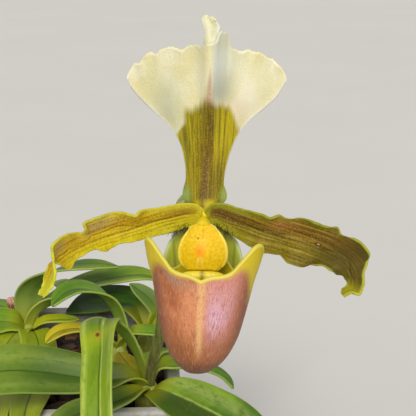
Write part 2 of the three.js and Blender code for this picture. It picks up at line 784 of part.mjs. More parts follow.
function lipGeometry(rings, sides) {
  const STEP = 0.01;
  const [outer, inner] = [[], []];
  for (let i = 1; i <= rings; i++) {
    for (let k = 0; k < sides; k++) {
      const angle = ((2 * k) / sides - 1) * Math.PI;
      const share = i / rings;
      const up = lipPoint(angle, Math.min(share + STEP, 1)).sub(lipPoint(angle, share - STEP));
      const round = lipPoint(angle + STEP, share).sub(lipPoint(angle - STEP, share));
      const inward = up.cross(round).normalize().multiplyScalar(LIP_THICKNESS);
      outer.push(lipPoint(angle, share));
      inner.push(lipPoint(angle, share).add(inward));
    }
  }
  const toe = lipPoint(0, 0);
  const vertices = [...outer, ...inner, toe, toe.clone().add(new THREE.Vector3(0, 0, LIP_THICKNESS))];
  const [under, toeOut, toeIn] = [outer.length, 2 * outer.length, 2 * outer.length + 1];
  const triangles = [];
  for (let k = 0; k < sides; k++) {
    const next = (k + 1) % sides;
    triangles.push([toeOut, k, next], [toeIn, under + next, under + k]);
    for (let i = 0; i < rings - 1; i++) {
      const [a, b] = [i * sides + k, i * sides + next];
      triangles.push([a, a + sides, b], [b, a + sides, b + sides]);
      triangles.push([under + a, under + b, under + a + sides]);
      triangles.push([under + b, under + b + sides, under + a + sides]);
    }
    const [a, b] = [(rings - 1) * sides + k, (rings - 1) * sides + next];
    triangles.push([a, under + a, b], [b, under + a, under + b]);
  }
  return closed(vertices, triangles);
}

// The column: a neck from the ovary, a body that bends forward and down, two anthers at its sides and the stigma below.
function columnGeometry() {
  const route = new Spine([[0, 1.4, 0], [0, -0.6, 0], [0, -3.2, -0.4], [0, -6, -1.6], [0, -7.6, -3.8]], [1, 0, 0]);
  const radius = profile([[0, 0.9], [0.22, 1], [0.45, 2.1], [0.8, 2.2], [1, 1.5]]);
  const body = tube(route, 9, 12, radius);
  const ball = (r, x, y, z, flat = 1) => {
    return new THREE.SphereGeometry(r, 9, 6).scale(1, flat, 1).translate(x, y, z);
  };
  const anthers = [-1, 1].map((side) => ball(1.3, side * 2.5, -4.2, -3));
  return join([body, ...anthers, ball(2.6, 0, -5.2, -6.2, 0.6)]);
}

const staminodeHalfWidth = profile([
  [0, 1.3], [0.06, 2], [0.18, 3.3], [0.34, 4.3], [0.48, 4.8], [0.63, 5.05], [0.78, 4.9], [0.89, 4.3], [0.95, 3.6], [1, 2.8],
]);
const STAMINODE = { top: -1.2, height: 9.8, front: -9.5, thickness: 1.2, centre: 0.2 };

function staminodeSurface(u, v) {
  const boss = 0.8 * bell(v, 0, 0.35) * bell(u, 0.6, 0.3);
  const curl = 0.9 * Math.abs(v) ** 3;
  const y = STAMINODE.front - 0.8 * u - boss + curl;
  return new THREE.Vector3(staminodeHalfWidth(u) * v + STAMINODE.centre, y, STAMINODE.top - STAMINODE.height * u);
}

add(bloom, "dorsal_sepal", sheet(14, 24, dorsalSurface, SEPAL_THICKNESS), COLOURS.dorsal);
add(bloom, "synsepal", sheet(10, 8, synsepalSurface, SEPAL_THICKNESS), COLOURS.synsepal);
for (const [name, petal] of Object.entries(PETALS)) {
  add(bloom, name, sheet(32, 5, petalSurface(petal), PETAL_THICKNESS), COLOURS.petal);
}
add(bloom, "lip_pouch", lipGeometry(11, 28), COLOURS.lip, 0.4);
add(bloom, "column", columnGeometry(), COLOURS.column, 0.4);
add(bloom, "staminode", sheet(9, 8, staminodeSurface, STAMINODE.thickness), COLOURS.staminode, 0.35);

bloom.position.set(...FLOWER.at);
bloom.rotation.set(radians(FLOWER.tilt), 0, radians(FLOWER.turn), "ZYX");
bloom.updateMatrixWorld(true);

// ---------------------------------------------------------------- ovary, bract, scape and the old stub
const fromFlower = (x, y, z) => bloom.localToWorld(new THREE.Vector3(x, y, z)).toArray();

const ovary = new Spine(
  [
    [53.3, -94.5, 172.5],
    [55.4, -105, 179.5],
    fromFlower(0, 13, -1.2),
    fromFlower(0, 6, -0.2),
    fromFlower(0, 1.4 + GAP, 0),
  ],
  [1, 0, 0],
);
const ovaryRadius = profile([[0, 1.7], [0.2, 1.9], [0.6, 2.5], [0.85, 2.7], [0.95, 2.9], [1, 2.2]]);
const ribbed = (u, angle) => ovaryRadius(u) * (1 + 0.06 * Math.cos(3 * angle));
add(plant, "ovary", tube(ovary, 10, 12, ribbed), COLOURS.stalk);

// The bract wraps the foot of the ovary from below and ends in a point.
function bractSurface(u, v) {
  const { point, side, up } = ovary.at(0.04 + 0.56 * u);
  const wrap = radians(150 * (1 - 0.75 * u ** 2)) * v;
  const radius = 3.2 + 1.2 * u;
  point.addScaledVector(side, radius * Math.sin(wrap));
  return point.addScaledVector(up, -radius * Math.cos(wrap));
}
add(plant, "floral_bract", sheet(7, 8, bractSurface, 0.7), COLOURS.sheath);

plant.add(bloom);

export default plant;
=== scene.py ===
"""A slipper orchid, Paphiopedilum spicerianum, in a square clay pot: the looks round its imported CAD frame.

Shapes are worked out in millimetres, +Z up, with the flower facing -Y, in the frame of the CAD model. Every
piece is written in metres by make() and rides on the root body. All but the hairs stand for the CAD node
that they are a finer form of.
"""

import math

import bpy
import numpy as np
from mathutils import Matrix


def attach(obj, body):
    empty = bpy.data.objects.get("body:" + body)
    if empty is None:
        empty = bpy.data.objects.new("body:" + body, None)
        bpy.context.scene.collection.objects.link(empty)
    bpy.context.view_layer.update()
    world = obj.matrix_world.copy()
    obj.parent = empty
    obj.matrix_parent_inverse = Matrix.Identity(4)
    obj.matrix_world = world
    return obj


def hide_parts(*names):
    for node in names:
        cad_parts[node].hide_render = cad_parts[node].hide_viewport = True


MM = 0.001

# ---------------------------------------------------------------- sizes in mm, as in the CAD model
POT = {
    "height": 92, "rim_half": 48, "foot_half": 40, "corner": 7, "wall": 3, "floor": 4.5,
    "band": 12, "step": 1.6,  # how deep the rim's band is, and how far it stands out
}
POT_TURN = math.radians(3)  # about +Z
DRAIN = {"radius": 5, "out": 20, "sides": 32, "plug": (-5, 10)}  # the plug is what cuts the hole
BARK = {"top": 82, "gap": 0.6, "chips": 420, "lowest": 79.5, "highest": 85}

CROWN_Z = 93.4  # where the leaves of a growth part
CROWN_DEPTH = 17  # from there down to the foot of its base
CROWN_RADIUS = 4.6
CROWNS = {"front": (38, -25.2), "left": (-12.5, 23.7), "middle": (24.8, 5.6), "back": (35, 20)}

LEAF_THICKNESS = 0.9
LEAF_RECURVE = 0.09  # how far its margins bend back, as a share of its half width
LEAF_CREASE_REACH = 0.09  # as a share of its length

FLOWER_AT = (58.2, -129, 184.9)
FLOWER_TILT = math.radians(-8)  # about +X
FLOWER_TURN = math.radians(-4)  # about +Z
SEPAL_THICKNESS = 0.8
PETAL_THICKNESS = 0.7
LIP_THICKNESS = 0.8
BRACT_THICKNESS = 0.7

# ---------------------------------------------------------------- finer than the CAD model, in mm
INNER_CORNER = POT["corner"] - POT["wall"] + 0.6
FOOT_RING = 6  # how far in from its edge the pot's foot starts to be drawn
POT_EDGES = {"foot": 1.3, "step": 0.9, "band": 0.9, "rim": 1.2, "rim_inside": 1.1, "floor": 1.5}
SHARP_ANGLE = math.radians(50)  # edges of the pot that turn further stay sharp

BARK_SEED = 7
CHIP_TRIES = 6  # for each chip that there is room for
CHIP_CLEARANCE = 5.4  # from the middle of each growth
CHIP_GRID = (5, 4, 3)  # points along a chip's length, width and height
CHIP_ROUGHNESS = (0.55, 0.5, 0.3)  # of the same three
CHIP_LENGTHS = (7, 15)
CHIP_WIDTHS = (0.45, 0.8)  # as shares of its length
CHIP_THICKNESSES = (2.6, 5)
CHIP_HEIGHTS = (BARK["lowest"], BARK["highest"] - 1.6)  # of its middle
CHIP_LIMIT = BARK["highest"] + 2.2  # for its highest corner
CHIP_TILT = 0.28  # its usual tip and lean, in radians

LEAF_ROOT = 5  # how far below CROWN_Z a leaf starts
LEAF_STEP = 1.3  # from row to row of its mesh
LEAF_COLUMNS = 22
LEAF_RIPPLE = 0.12 / 13  # how high its margin waves, as a share of its width
LEAF_WAVE = 4.1  # how long a radian of that wave is
LEAF_FOLD_BLUNT = 0.02  # how blunt its fold is, as a share of its half width

# Hairs: how many, their usual length and the seed of each coat.
SCAPE_HAIRS = {"count": 3200, "length": 0.75, "seed": 3}
OVARY_HAIRS = {"count": 2000, "length": 0.6, "seed": 4}
PETAL_HAIR_SEEDS = {"petal_left": 20, "petal_right": 21}
PETAL_HAIR_COUNT = 90
HAIR_ROOT = 0.1  # how deep a hair is rooted
FINE_HAIR = 0.035  # the radius of a hair's root
COARSE_HAIR = 0.05
TRIANGLE = np.radians([0, 120, 240])  # the corners of a hair's root

RIGHT = (1, 0, 0)
# Rings and sides of each tube, and rows and columns of each sheet.
MESH = {
    "scape": (160, 32), "ovary": (110, 48), "stub": (40, 40), "growth_base": (40, 48), "column": (30, 36),
    "bract": (60, 50), "dorsal": (130, 170), "tip": (40, 24), "synsepal": (80, 50), "petal": (260, 40),
    "lip": (90, 200), "staminode": (70, 60),
}

# How far red, green and blue light sink into most skins, as shares of a depth in mm.
SKIN_RADIUS = (0.6, 0.35, 0.15)
SKIN_DEPTH = 1.2

# The photograph's camera, in metres and degrees, and its lens and sensor in mm.
CAMERA_AT = (0.059, -0.345, 0.248)
CAMERA_PITCH = 16
CAMERA_LENS = 86.54
CAMERA_SENSOR = 36
FLOOR_REACH = 20  # in metres
SURROUND = {"colour": "e6e6e4", "strength": 0.42}


# ---------------------------------------------------------------- numbers and curves
def smoothstep(low, high, x):
    t = np.clip((x - low) / (high - low), 0, 1)
    return t * t * (3 - 2 * t)


def bell(x, centre, width):
    return np.exp(-(((x - centre) / width) ** 2))


def lerp(a, b, t):
    return a + (b - a) * t


def unit(vectors):
    length = np.linalg.norm(vectors, axis=-1, keepdims=True)
    return vectors / np.maximum(length, 1e-12)


def points(x, y, z):
    return np.stack(np.broadcast_arrays(x, y, z), -1).astype(float)


def profile(knots):
    """A smooth curve through (x, y) knots, as a function of x."""
    xs, ys = np.array(knots, float).T
    before = np.maximum(np.arange(len(xs)) - 1, 0)
    after = np.minimum(np.arange(len(xs)) + 1, len(xs) - 1)
    slopes = (ys[after] - ys[before]) / (xs[after] - xs[before])

    def at(x):
        i = np.clip(np.searchsorted(xs, x) - 1, 0, len(xs) - 2)
        width = xs[i + 1] - xs[i]
        t = np.clip((x - xs[i]) / width, 0, 1)
        bend = t * (1 - t) * width * ((1 - t) * slopes[i] - t * slopes[i + 1])
        return ys[i] + (ys[i + 1] - ys[i]) * t * t * (3 - 2 * t) + bend

    return at


class Route:
    """A smooth curve through points, read by its share of the whole length."""

    def __init__(self, knots):
        knots = np.array(knots, float)
        first = 2 * knots[0] - knots[1]
        last = 2 * knots[-1] - knots[-2]
        self.knots = np.vstack([first, knots, last])
        self.dense = np.linspace(0, len(knots) - 1, 60 * (len(knots) - 1) + 1)
        steps = np.linalg.norm(np.diff(self.on(self.dense), axis=0), axis=1)
        self.reached = np.concatenate([[0], np.cumsum(steps)])
        self.length = self.reached[-1]

    def on(self, t):
        i = np.clip(np.floor(t).astype(int), 0, len(self.knots) - 4)
        x = (t - i)[..., None]
        a, b, c, d = (self.knots[i + k] for k in range(4))
        start, end = (c - a) / 2, (d - b) / 2
        return b + x * (start + x * (3 * (c - b) - 2 * start - end + x * (2 * (b - c) + start + end)))

    def at(self, u):
        return self.on(np.interp(np.clip(u, 0, 1) * self.length, self.reached, self.dense))


class Spine(Route):
    """A route with a side direction that is carried along it without twisting."""

    STEPS = 400

    def __init__(self, knots, side):
        super().__init__(knots)
        self.shares = np.linspace(0, 1, self.STEPS + 1)
        step = 0.5 / self.STEPS
        ahead = self.at(self.shares + step)
        self.tangents = unit(ahead - self.at(self.shares - step))
        carried = np.array(side, float)
        self.sides = np.empty_like(self.tangents)
        for i, tangent in enumerate(self.tangents):
            carried = unit(carried - carried.dot(tangent) * tangent)
            self.sides[i] = carried

    def read(self, table, u):
        columns = [np.interp(u, self.shares, table[:, k]) for k in range(3)]
        return unit(np.stack(columns, -1))

    def frame(self, u, roll=0):
        """The point at a share u, with its side and up directions rolled about the route."""
        u = np.clip(u, 0, 1)
        tangent = self.read(self.tangents, u)
        side = self.read(self.sides, u)
        up = np.cross(side, tangent)
        roll = np.asarray(roll)[..., None]
        rolled = side * np.cos(roll) + up * np.sin(roll)
        return self.at(u), rolled, np.cross(rolled, tangent)


# ---------------------------------------------------------------- shapes
class Shape:
    """Points in millimetres, faces, and values that go with each point."""

    def __init__(self, at, faces, **values):
        self.at = at
        self.faces = faces
        self.values = values

    def outward(self):
        """The same shape with its faces turned out."""
        volume = 0
        for f in self.faces:
            for k in range(1, f.shape[1] - 1):
                a, b, c = self.at[f[:, 0]], self.at[f[:, k]], self.at[f[:, k + 1]]
                volume += np.einsum("ij,ij->", a, np.cross(b, c))
        if volume < 0:
            self.faces = [f[:, ::-1] for f in self.faces]
        return self


def grid_faces(index, wrap=False):
    """Quads between the neighbours in a grid of point numbers; wrap joins its last column to its first."""
    right = np.roll(index, -1, axis=1)
    if not wrap:
        index, right = index[:, :-1], right[:, :-1]
    return np.stack([index[:-1], right[:-1], right[1:], index[1:]], -1).reshape(-1, 4)


def joined(shapes):
    """Several shapes as one, with the values that they all have."""
    starts = np.cumsum([0] + [len(s.at) for s in shapes])
    faces = [f + start for s, start in zip(shapes, starts) for f in s.faces]
    keys = set.intersection(*(set(s.values) for s in shapes))
    values = {key: np.concatenate([s.values[key] for s in shapes]) for key in sorted(keys)}
    return Shape(np.concatenate([s.at for s in shapes]), faces, **values)


NEAR_MARGIN = (0, 0.08, 0.3, 0.62)  # where the extra rows lie that round a sheet's margin


def spread(count, edge):
    """Shares from 0 to 1, with extra ones within edge of both ends, where a sheet is rounded off."""
    near = edge * np.array(NEAR_MARGIN)
    return np.concatenate([near, np.linspace(edge, 1 - edge, count), 1 - near[::-1]])


def sheet(place, rows, columns, thickness, edge=0.03):
    """A closed sheet round the surface place(u, v), u from 0 to 1 and v from -1 to 1, with rounded margins.

    Its values are grain, which is how far a point lies along, across and from the margin, and share, which
    is u, v and its face: 1 on the side that u x v points to.
    """
    u, v = np.meshgrid(spread(rows, edge * 0.5), 2 * spread(columns, edge) - 1, indexing="ij")
    middle = place(u, v)
    along = np.gradient(middle, axis=0)
    across = np.gradient(middle, axis=1)
    normal = unit(np.cross(along, across))
    half = thickness / 2

    def travelled(axis):
        steps = np.linalg.norm(np.diff(middle, axis=axis), axis=-1)
        pad = [(0, 0), (0, 0)]
        pad[axis] = (1, 0)
        return np.cumsum(np.pad(steps, pad), axis=axis)

    down, over = travelled(0), travelled(1)
    margin = np.minimum(over, over[:, -1:] - over)
    end = np.minimum(down, down[-1:] - down)
    rounded = 1 - np.clip(np.minimum(margin, end) / half, 0, 1)
    height = (half * np.sqrt(1 - rounded**2))[..., None]

    shape = u.shape
    top = np.arange(u.size).reshape(shape)
    under = top.copy()
    inside = (slice(1, -1), slice(1, -1))
    under[inside] = u.size + np.arange((shape[0] - 2) * (shape[1] - 2)).reshape(shape[0] - 2, shape[1] - 2)

    def both(values):
        flat = values.reshape(u.size, -1)
        return np.concatenate([flat, values[inside].reshape(-1, flat.shape[1])])

    at = np.concatenate([
        (middle + normal * height).reshape(-1, 3),
        (middle - normal * height)[inside].reshape(-1, 3),
    ])
    face = np.concatenate([np.ones(u.size), np.zeros(len(at) - u.size)])
    centre = over - over[:, -1:] / 2
    grain = both(points(down[:, [shape[1] // 2]], centre, margin))
    share = both(points(u, v, 0))
    share[:, 2] = face
    return Shape(at, [grid_faces(top), grid_faces(under)[:, ::-1]], grain=grain, share=share).outward()


def fans(index):
    """Triangles that close both ends of a wrapped grid. Their tips are the two points after the grid's."""
    ends = ((index[0], index.size), (index[-1][::-1], index.size + 1))
    return [np.stack([np.full(len(row), tip), np.roll(row, -1), row], -1) for row, tip in ends]


def tube(spine, rings, sides, radius):
    """A tube along a spine, closed at both ends. radius(u, angle) is its radius."""
    u, angle = np.meshgrid(np.linspace(0, 1, rings), np.arange(sides) * 2 * np.pi / sides, indexing="ij")
    at, side, up = spine.frame(u)
    r = radius(u, angle)[..., None]
    wall = at + r * (np.cos(angle)[..., None] * side + np.sin(angle)[..., None] * up)
    index = np.arange(u.size).reshape(u.shape)
    at = np.vstack([wall.reshape(-1, 3), spine.at(np.array([0.0, 1.0]))])
    return Shape(at, [grid_faces(index, wrap=True), *fans(index)]).outward()


def ball(radius, centre, flat=(1, 1, 1), rings=24, sides=32):
    """A ball, flattened by the given shares."""
    down, about = np.linspace(0, np.pi, rings)[1:-1], np.arange(sides) * 2 * np.pi / sides
    theta, phi = np.meshgrid(down, about, indexing="ij")
    at = points(np.sin(theta) * np.cos(phi), np.sin(theta) * np.sin(phi), np.cos(theta)).reshape(-1, 3)
    at = np.vstack([at, [[0, 0, 1], [0, 0, -1]]]) * radius * np.array(flat) + np.array(centre)
    index = np.arange((rings - 2) * sides).reshape(rings - 2, sides)
    return Shape(at, [grid_faces(index, wrap=True), *fans(index)]).outward()


def stacked(loops):
    """A closed shape from rings of points, whose first and last ring are flat ends."""
    loops = np.array(loops)
    index = np.arange(loops.shape[0] * loops.shape[1]).reshape(loops.shape[:2])
    return Shape(loops.reshape(-1, 3), [grid_faces(index, wrap=True), index[:1, ::-1], index[-1:]]).outward()


def swung(a, b, angle):
    """Two coordinates turned by an angle in radians, from the first towards the second."""
    return a * math.cos(angle) - b * math.sin(angle), a * math.sin(angle) + b * math.cos(angle)


def turned(at, angle):
    """Points turned about +Z."""
    x, y = swung(at[..., 0], at[..., 1], angle)
    return points(x, y, at[..., 2])


def from_flower(at):
    """Points from the flower's own frame, where -Y is forward, to the plant's."""
    y, z = swung(at[..., 1], at[..., 2], FLOWER_TILT)
    return turned(points(at[..., 0], y, z), FLOWER_TURN) + np.array(FLOWER_AT)


def local(shape):
    """A shape moved from the flower's own frame, where its place is kept as a value, to the plant's."""
    shape.values["local"] = shape.at
    shape.at = from_flower(shape.at)
    return shape


# ---------------------------------------------------------------- pieces
def added(name, data):
    """A new object in the scene."""
    thing = bpy.data.objects.new(name, data)
    bpy.context.scene.collection.objects.link(thing)
    return thing


def mesh_of(name, shape, scale=1):
    """A mesh with the points and faces of a shape."""
    mesh = bpy.data.meshes.new(name)
    mesh.from_pydata((shape.at * scale).tolist(), [], [row for f in shape.faces for row in f.tolist()])
    return mesh


def make(name, shape, material, nodes=(), smooth=True):
    """A piece from a shape. It rides on the root body and stands for its CAD nodes."""
    mesh = mesh_of(name, shape, MM)
    for key, values in shape.values.items():
        attribute = mesh.attributes.new(key, "FLOAT_VECTOR", "POINT")
        attribute.data.foreach_set("vector", values.astype(np.float32).ravel())
    mesh.polygons.foreach_set("use_smooth", np.full(len(mesh.polygons), smooth))
    mesh.materials.append(material)
    mesh.update()
    piece = added(name, mesh)
    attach(piece, "root")
    if nodes:
        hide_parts(*nodes)
    return piece


def finer(node, shape, material, smooth=True):
    """The piece that stands for one CAD node."""
    return make(f"{node}_fine", shape, material, [node], smooth)


def reworked(shape, *modifiers):
    """A shape after Blender modifiers, each given as its type and its settings."""
    draft = added("draft", mesh_of("draft", shape))
    for kind, settings in modifiers:
        modifier = draft.modifiers.new(kind, kind)
        for key, value in settings.items():
            setattr(modifier, key, value)
    done = bpy.data.meshes.new_from_object(draft.evaluated_get(bpy.context.evaluated_depsgraph_get()))
    at = np.empty(len(done.vertices) * 3)
    done.vertices.foreach_get("co", at)
    faces = [np.array([list(p.vertices)]) for p in done.polygons]
    for mesh in (draft.data, done):
        bpy.data.meshes.remove(mesh)
    return Shape(at.reshape(-1, 3), faces)


def drilled(shape, tools):
    """A shape with other closed shapes cut out of it."""
    cutter = added("tools", mesh_of("tools", tools))
    bpy.context.view_layer.update()
    done = reworked(shape, ("BOOLEAN", {"operation": "DIFFERENCE", "solver": "EXACT", "object": cutter}))
    bpy.data.meshes.remove(cutter.data)
    return done


# ---------------------------------------------------------------- materials
def rgb(code):
    """A hex colour as linear values."""
    parts = [int(code[k : k + 2], 16) / 255 for k in (0, 2, 4)]
    return tuple(c / 12.92 if c <= 0.04045 else ((c + 0.055) / 1.055) ** 2.4 for c in parts)


# The sockets of a mix node that a mix of colours uses: its share, its two colours and its result.
MIX_INPUTS = (0, 6, 7)
MIX_OUTPUT = 2


class Value:
    """A number or colour in a shader, so that a sum of them reads as a formula."""

    def __init__(self, paint, socket):
        self.paint = paint
        self.socket = socket

    def math(self, operation, other=None, swap=False):
        node = self.paint.node("ShaderNodeMath", operation=operation)
        pair = (other, self) if swap else (self, other)
        for k, value in enumerate(pair):
            if value is not None:
                self.paint.plug(value, node.inputs[k])
        return Value(self.paint, node.outputs[0])

    def __add__(self, other):
        return self.math("ADD", other)

    def __sub__(self, other):
        return self.math("SUBTRACT", other)

    def __rsub__(self, other):
        return self.math("SUBTRACT", other, swap=True)

    def __mul__(self, other):
        return self.math("MULTIPLY", other)

    def __truediv__(self, other):
        return self.math("DIVIDE", other)

    def __abs__(self):
        return self.math("ABSOLUTE")

    def sin(self):
        return self.math("SINE")

    def most(self, other):
        return self.math("MAXIMUM", other)


class Paint:
    """A material and the nodes that colour it."""

    def __init__(self, name):
        self.material = bpy.data.materials.new(name)
        self.material.use_nodes = True
        self.tree = self.material.node_tree
        self.tree.nodes.clear()
        self.read = {}

    def node(self, kind, **settings):
        node = self.tree.nodes.new(kind)
        for key, value in settings.items():
            setattr(node, key, value)
        return node

    def plug(self, value, socket):
        """Sets a socket to a Value, a hex colour or a number."""
        if isinstance(value, Value):
            self.tree.links.new(value.socket, socket)
        elif isinstance(value, str):
            socket.default_value = (*rgb(value), 1)
        else:
            socket.default_value = value

    def parts(self, name):
        """The three numbers of a value that goes with each point."""
        if name not in self.read:
            source = self.node("ShaderNodeAttribute", attribute_name=name)
            split = self.node("ShaderNodeSeparateXYZ")
            self.tree.links.new(source.outputs["Vector"], split.inputs[0])
            self.read[name] = [Value(self, socket) for socket in split.outputs]
        return self.read[name]

    def place(self):
        """The three coordinates of a point of the object, in millimetres."""
        if "place" not in self.read:
            source = self.node("ShaderNodeTexCoord")
            split = self.node("ShaderNodeSeparateXYZ")
            self.tree.links.new(source.outputs["Object"], split.inputs[0])
            self.read["place"] = [Value(self, socket) / MM for socket in split.outputs]
        return self.read["place"]

    def vector(self, x, y, z):
        node = self.node("ShaderNodeCombineXYZ")
        for k, value in enumerate((x, y, z)):
            self.plug(value, node.inputs[k])
        return Value(self, node.outputs[0])

    def noise(self, at, detail=3, roughness=0.55, scale=1):
        """Cloudy noise about 0.5."""
        node = self.node("ShaderNodeTexNoise")
        self.plug(self.vector(*at), node.inputs["Vector"])
        node.inputs["Scale"].default_value = scale
        node.inputs["Detail"].default_value = detail
        node.inputs["Roughness"].default_value = roughness
        return Value(self, node.outputs["Fac"])

    def cells(self, at, scale):
        """The distance from the middle of the nearest cell."""
        node = self.node("ShaderNodeTexVoronoi")
        self.plug(self.vector(*at), node.inputs["Vector"])
        node.inputs["Scale"].default_value = scale
        return Value(self, node.outputs["Distance"])

    def ease(self, x, low, high):
        """0 below low, 1 above high, and smooth between; high may lie below low."""
        node = self.node("ShaderNodeMapRange", interpolation_type="SMOOTHSTEP")
        self.plug(x, node.inputs["Value"])
        flip = not isinstance(low, Value) and not isinstance(high, Value) and low > high
        self.plug(high if flip else low, node.inputs["From Min"])
        self.plug(low if flip else high, node.inputs["From Max"])
        node.inputs["To Min"].default_value = 1 if flip else 0
        node.inputs["To Max"].default_value = 0 if flip else 1
        return Value(self, node.outputs["Result"])

    def bell(self, x, centre, width):
        """1 at the centre, and 0 a few widths away."""
        t = (x - centre) / width
        return (t * t * -1).math("EXPONENT")

    def mix(self, a, b, share):
        """Colour a with a share of colour b in it."""
        node = self.node("ShaderNodeMix", data_type="RGBA")
        for value, socket in zip((share, a, b), MIX_INPUTS):
            self.plug(value, node.inputs[socket])
        return Value(self, node.outputs[MIX_OUTPUT])

    def coats(self, under, *layers):
        """A colour under thin layers, each given as its colour and its share."""
        for colour, share in layers:
            under = self.mix(under, colour, share)
        return under

    def finish(self, colour, roughness, height=None, depth=0, strength=0, **settings):
        """The surface: its colour, how rough it is, and its relief, of the given depth in millimetres."""
        shader = self.node("ShaderNodeBsdfPrincipled")
        output = self.node("ShaderNodeOutputMaterial")
        self.tree.links.new(shader.outputs[0], output.inputs[0])
        self.plug(colour, shader.inputs["Base Color"])
        self.plug(roughness, shader.inputs["Roughness"])
        for key, value in settings.items():
            shader.inputs[key.replace("_", " ")].default_value = value
        if height is not None:
            relief = self.node("ShaderNodeBump")
            relief.inputs["Distance"].default_value = depth * MM
            relief.inputs["Strength"].default_value = strength
            self.plug(height, relief.inputs["Height"])
            self.tree.links.new(relief.outputs[0], shader.inputs["Normal"])
        return self.material


def soft(amount, radius=SKIN_RADIUS, specular=0.5):
    """Settings of a fleshy surface that light sinks into a little."""
    return {
        "Subsurface_Weight": amount,
        "Subsurface_Radius": radius,
        "Subsurface_Scale": SKIN_DEPTH * MM,
        "Specular_IOR_Level": specular,
    }


# The blade, shadow and pale tints of each finish of a leaf, and its marks.
LEAF_FINISHES = {
    "bright": ("7a980e", "5c7c08", "b8c65c", {
        "shine": [(-5.4, 0.9, 0.75), (1.3, 0.5, 1), (5.6, 0.8, 0.4)], "spot": (49, -0.8),
    }),
    "lit": ("8cab2a", "42700f", "c0d070", {"dark_half": 0.9, "shine": [(4.6, 2, 0.5), (0.1, 0.35, 0.7)]}),
    "fresh": ("6e9418", "46700c", "a8bc50", {}),
    "olive": ("98a412", "728a0a", "c4cc58", {}),
    "blue": ("728a22", "55761a", "a4b454", {"dusk": 0.7, "shine": [(5.5, 1.8, 0.25), (-5, 2.2, 0.3)]}),
    "shade": ("305210", "1e380a", "7c9440", {}),
    "old": ("bcae12", "948610", "d0c63e", {"worn": 0.7}),
}


def leaf_paint(name, blade, deep, pale, worn=0, dark_half=0, dusk=0, shine=(), spot=None):
    """A strap leaf: fine lengthwise veins, a pale margin, a pressed midrib and a yellowish foot.

    worn is how browned it is, dark_half how much painted shade darkens one half, dusk how
    much painted shade darkens its blade on the way to its foot, shine how far from its midrib
    streaks of painted highlight run, with the width and strength of each, and spot where a brown
    spot lies. Painted shade also darkens the midrib's crease, and tiny painted highlights speckle
    every blade.
    """
    p = Paint(f"leaf_{name}_paint")
    along, across, margin = p.parts("grain")
    _, v, face = p.parts("share")
    cloud = p.noise((along * 0.03, across * 0.16, face))
    mottle = p.noise((along * 0.35, across * 0.6, face), 4)
    veins = p.noise((along * 0.02, across * 3.2, face), 2)
    gloss = p.noise((along * 0.1, across * 1.3, face))
    rib = p.bell(across, 0, 0.35)
    tint = p.coats(
        p.mix(deep, blade, p.ease(cloud + mottle * 0.25, 0.42, 0.78)),
        (pale, p.ease(veins, 0.5, 0.85) * 0.25),
        # painted shade on one half of the blade, and on the blade towards its foot
        ("324a08", p.ease(v, 0.02, -0.1) * dark_half),
        ("3c5a1a", p.ease(along, 54, 38) * dusk),
        (pale, p.ease(margin, 0.6, 0.15) * 0.4),
        # painted shade in the midrib's crease
        ("2e480c", rib * 0.8 * face),
    )
    # painted highlights in streaks along the blade
    glint = p.ease(gloss + mottle, 0.6, 1.1)
    for place, width, strength in shine:
        tint = p.mix(tint, pale, p.bell(across, place, width) * glint * face * strength)
    # painted highlights in tiny specks
    highlight_specks = p.noise((along * 1.6, across * 1.6, 3), 2)
    tint = p.coats(
        tint,
        (pale, p.ease(highlight_specks, 0.66, 0.76) * 0.5),
        ("a8a81c", p.ease(along, 19, 6) * 0.75),
    )
    under = p.mix(tint, "8a9c4c", 0.35)
    tint = p.mix(under, tint, face)
    if worn:
        patches = p.noise((along * 0.12, across * 0.3, face), 4)
        tint = p.mix(tint, "7a4a1c", p.ease(patches, 0.6, 0.74) * worn)
    if spot:
        near = p.bell(along, spot[0], 1.5) * p.bell(across, spot[1], 1.1)
        tint = p.coats(
            tint,
            ("a6b60a", p.bell(along, spot[0] + 1.5, 5) * 0.6),
            ("b88a14", p.ease(near, 0.1, 0.4) * 0.7),
            ("5c3a12", p.ease(near, 0.5, 0.8) * 0.9),
        )
    relief = veins * 0.5 + mottle * 0.3 - rib * 0.8
    rough = p.ease(mottle, 0.3, 0.8) * 0.12 + 0.36
    return p.finish(tint, rough, relief, depth=0.12, strength=0.35, **soft(0.06, specular=0.4))


# The veins on the neck of the upper sepal: the place of each 17.5 mm up, its width and how dark it is.
DORSAL_VEINS = [
    (-4.7, 0.2, 0.35), (-3.5, 0.16, 0.3), (-2.3, 0.25, 0.6), (-1.35, 0.4, 0.7), (-0.45, 0.16, 0.4),
    (0.2, 0.2, 0.5), (1.25, 0.42, 0.95), (2.1, 0.15, 0.35), (2.9, 0.2, 0.6), (3.9, 0.17, 0.6),
    (4.7, 0.15, 0.4),
]


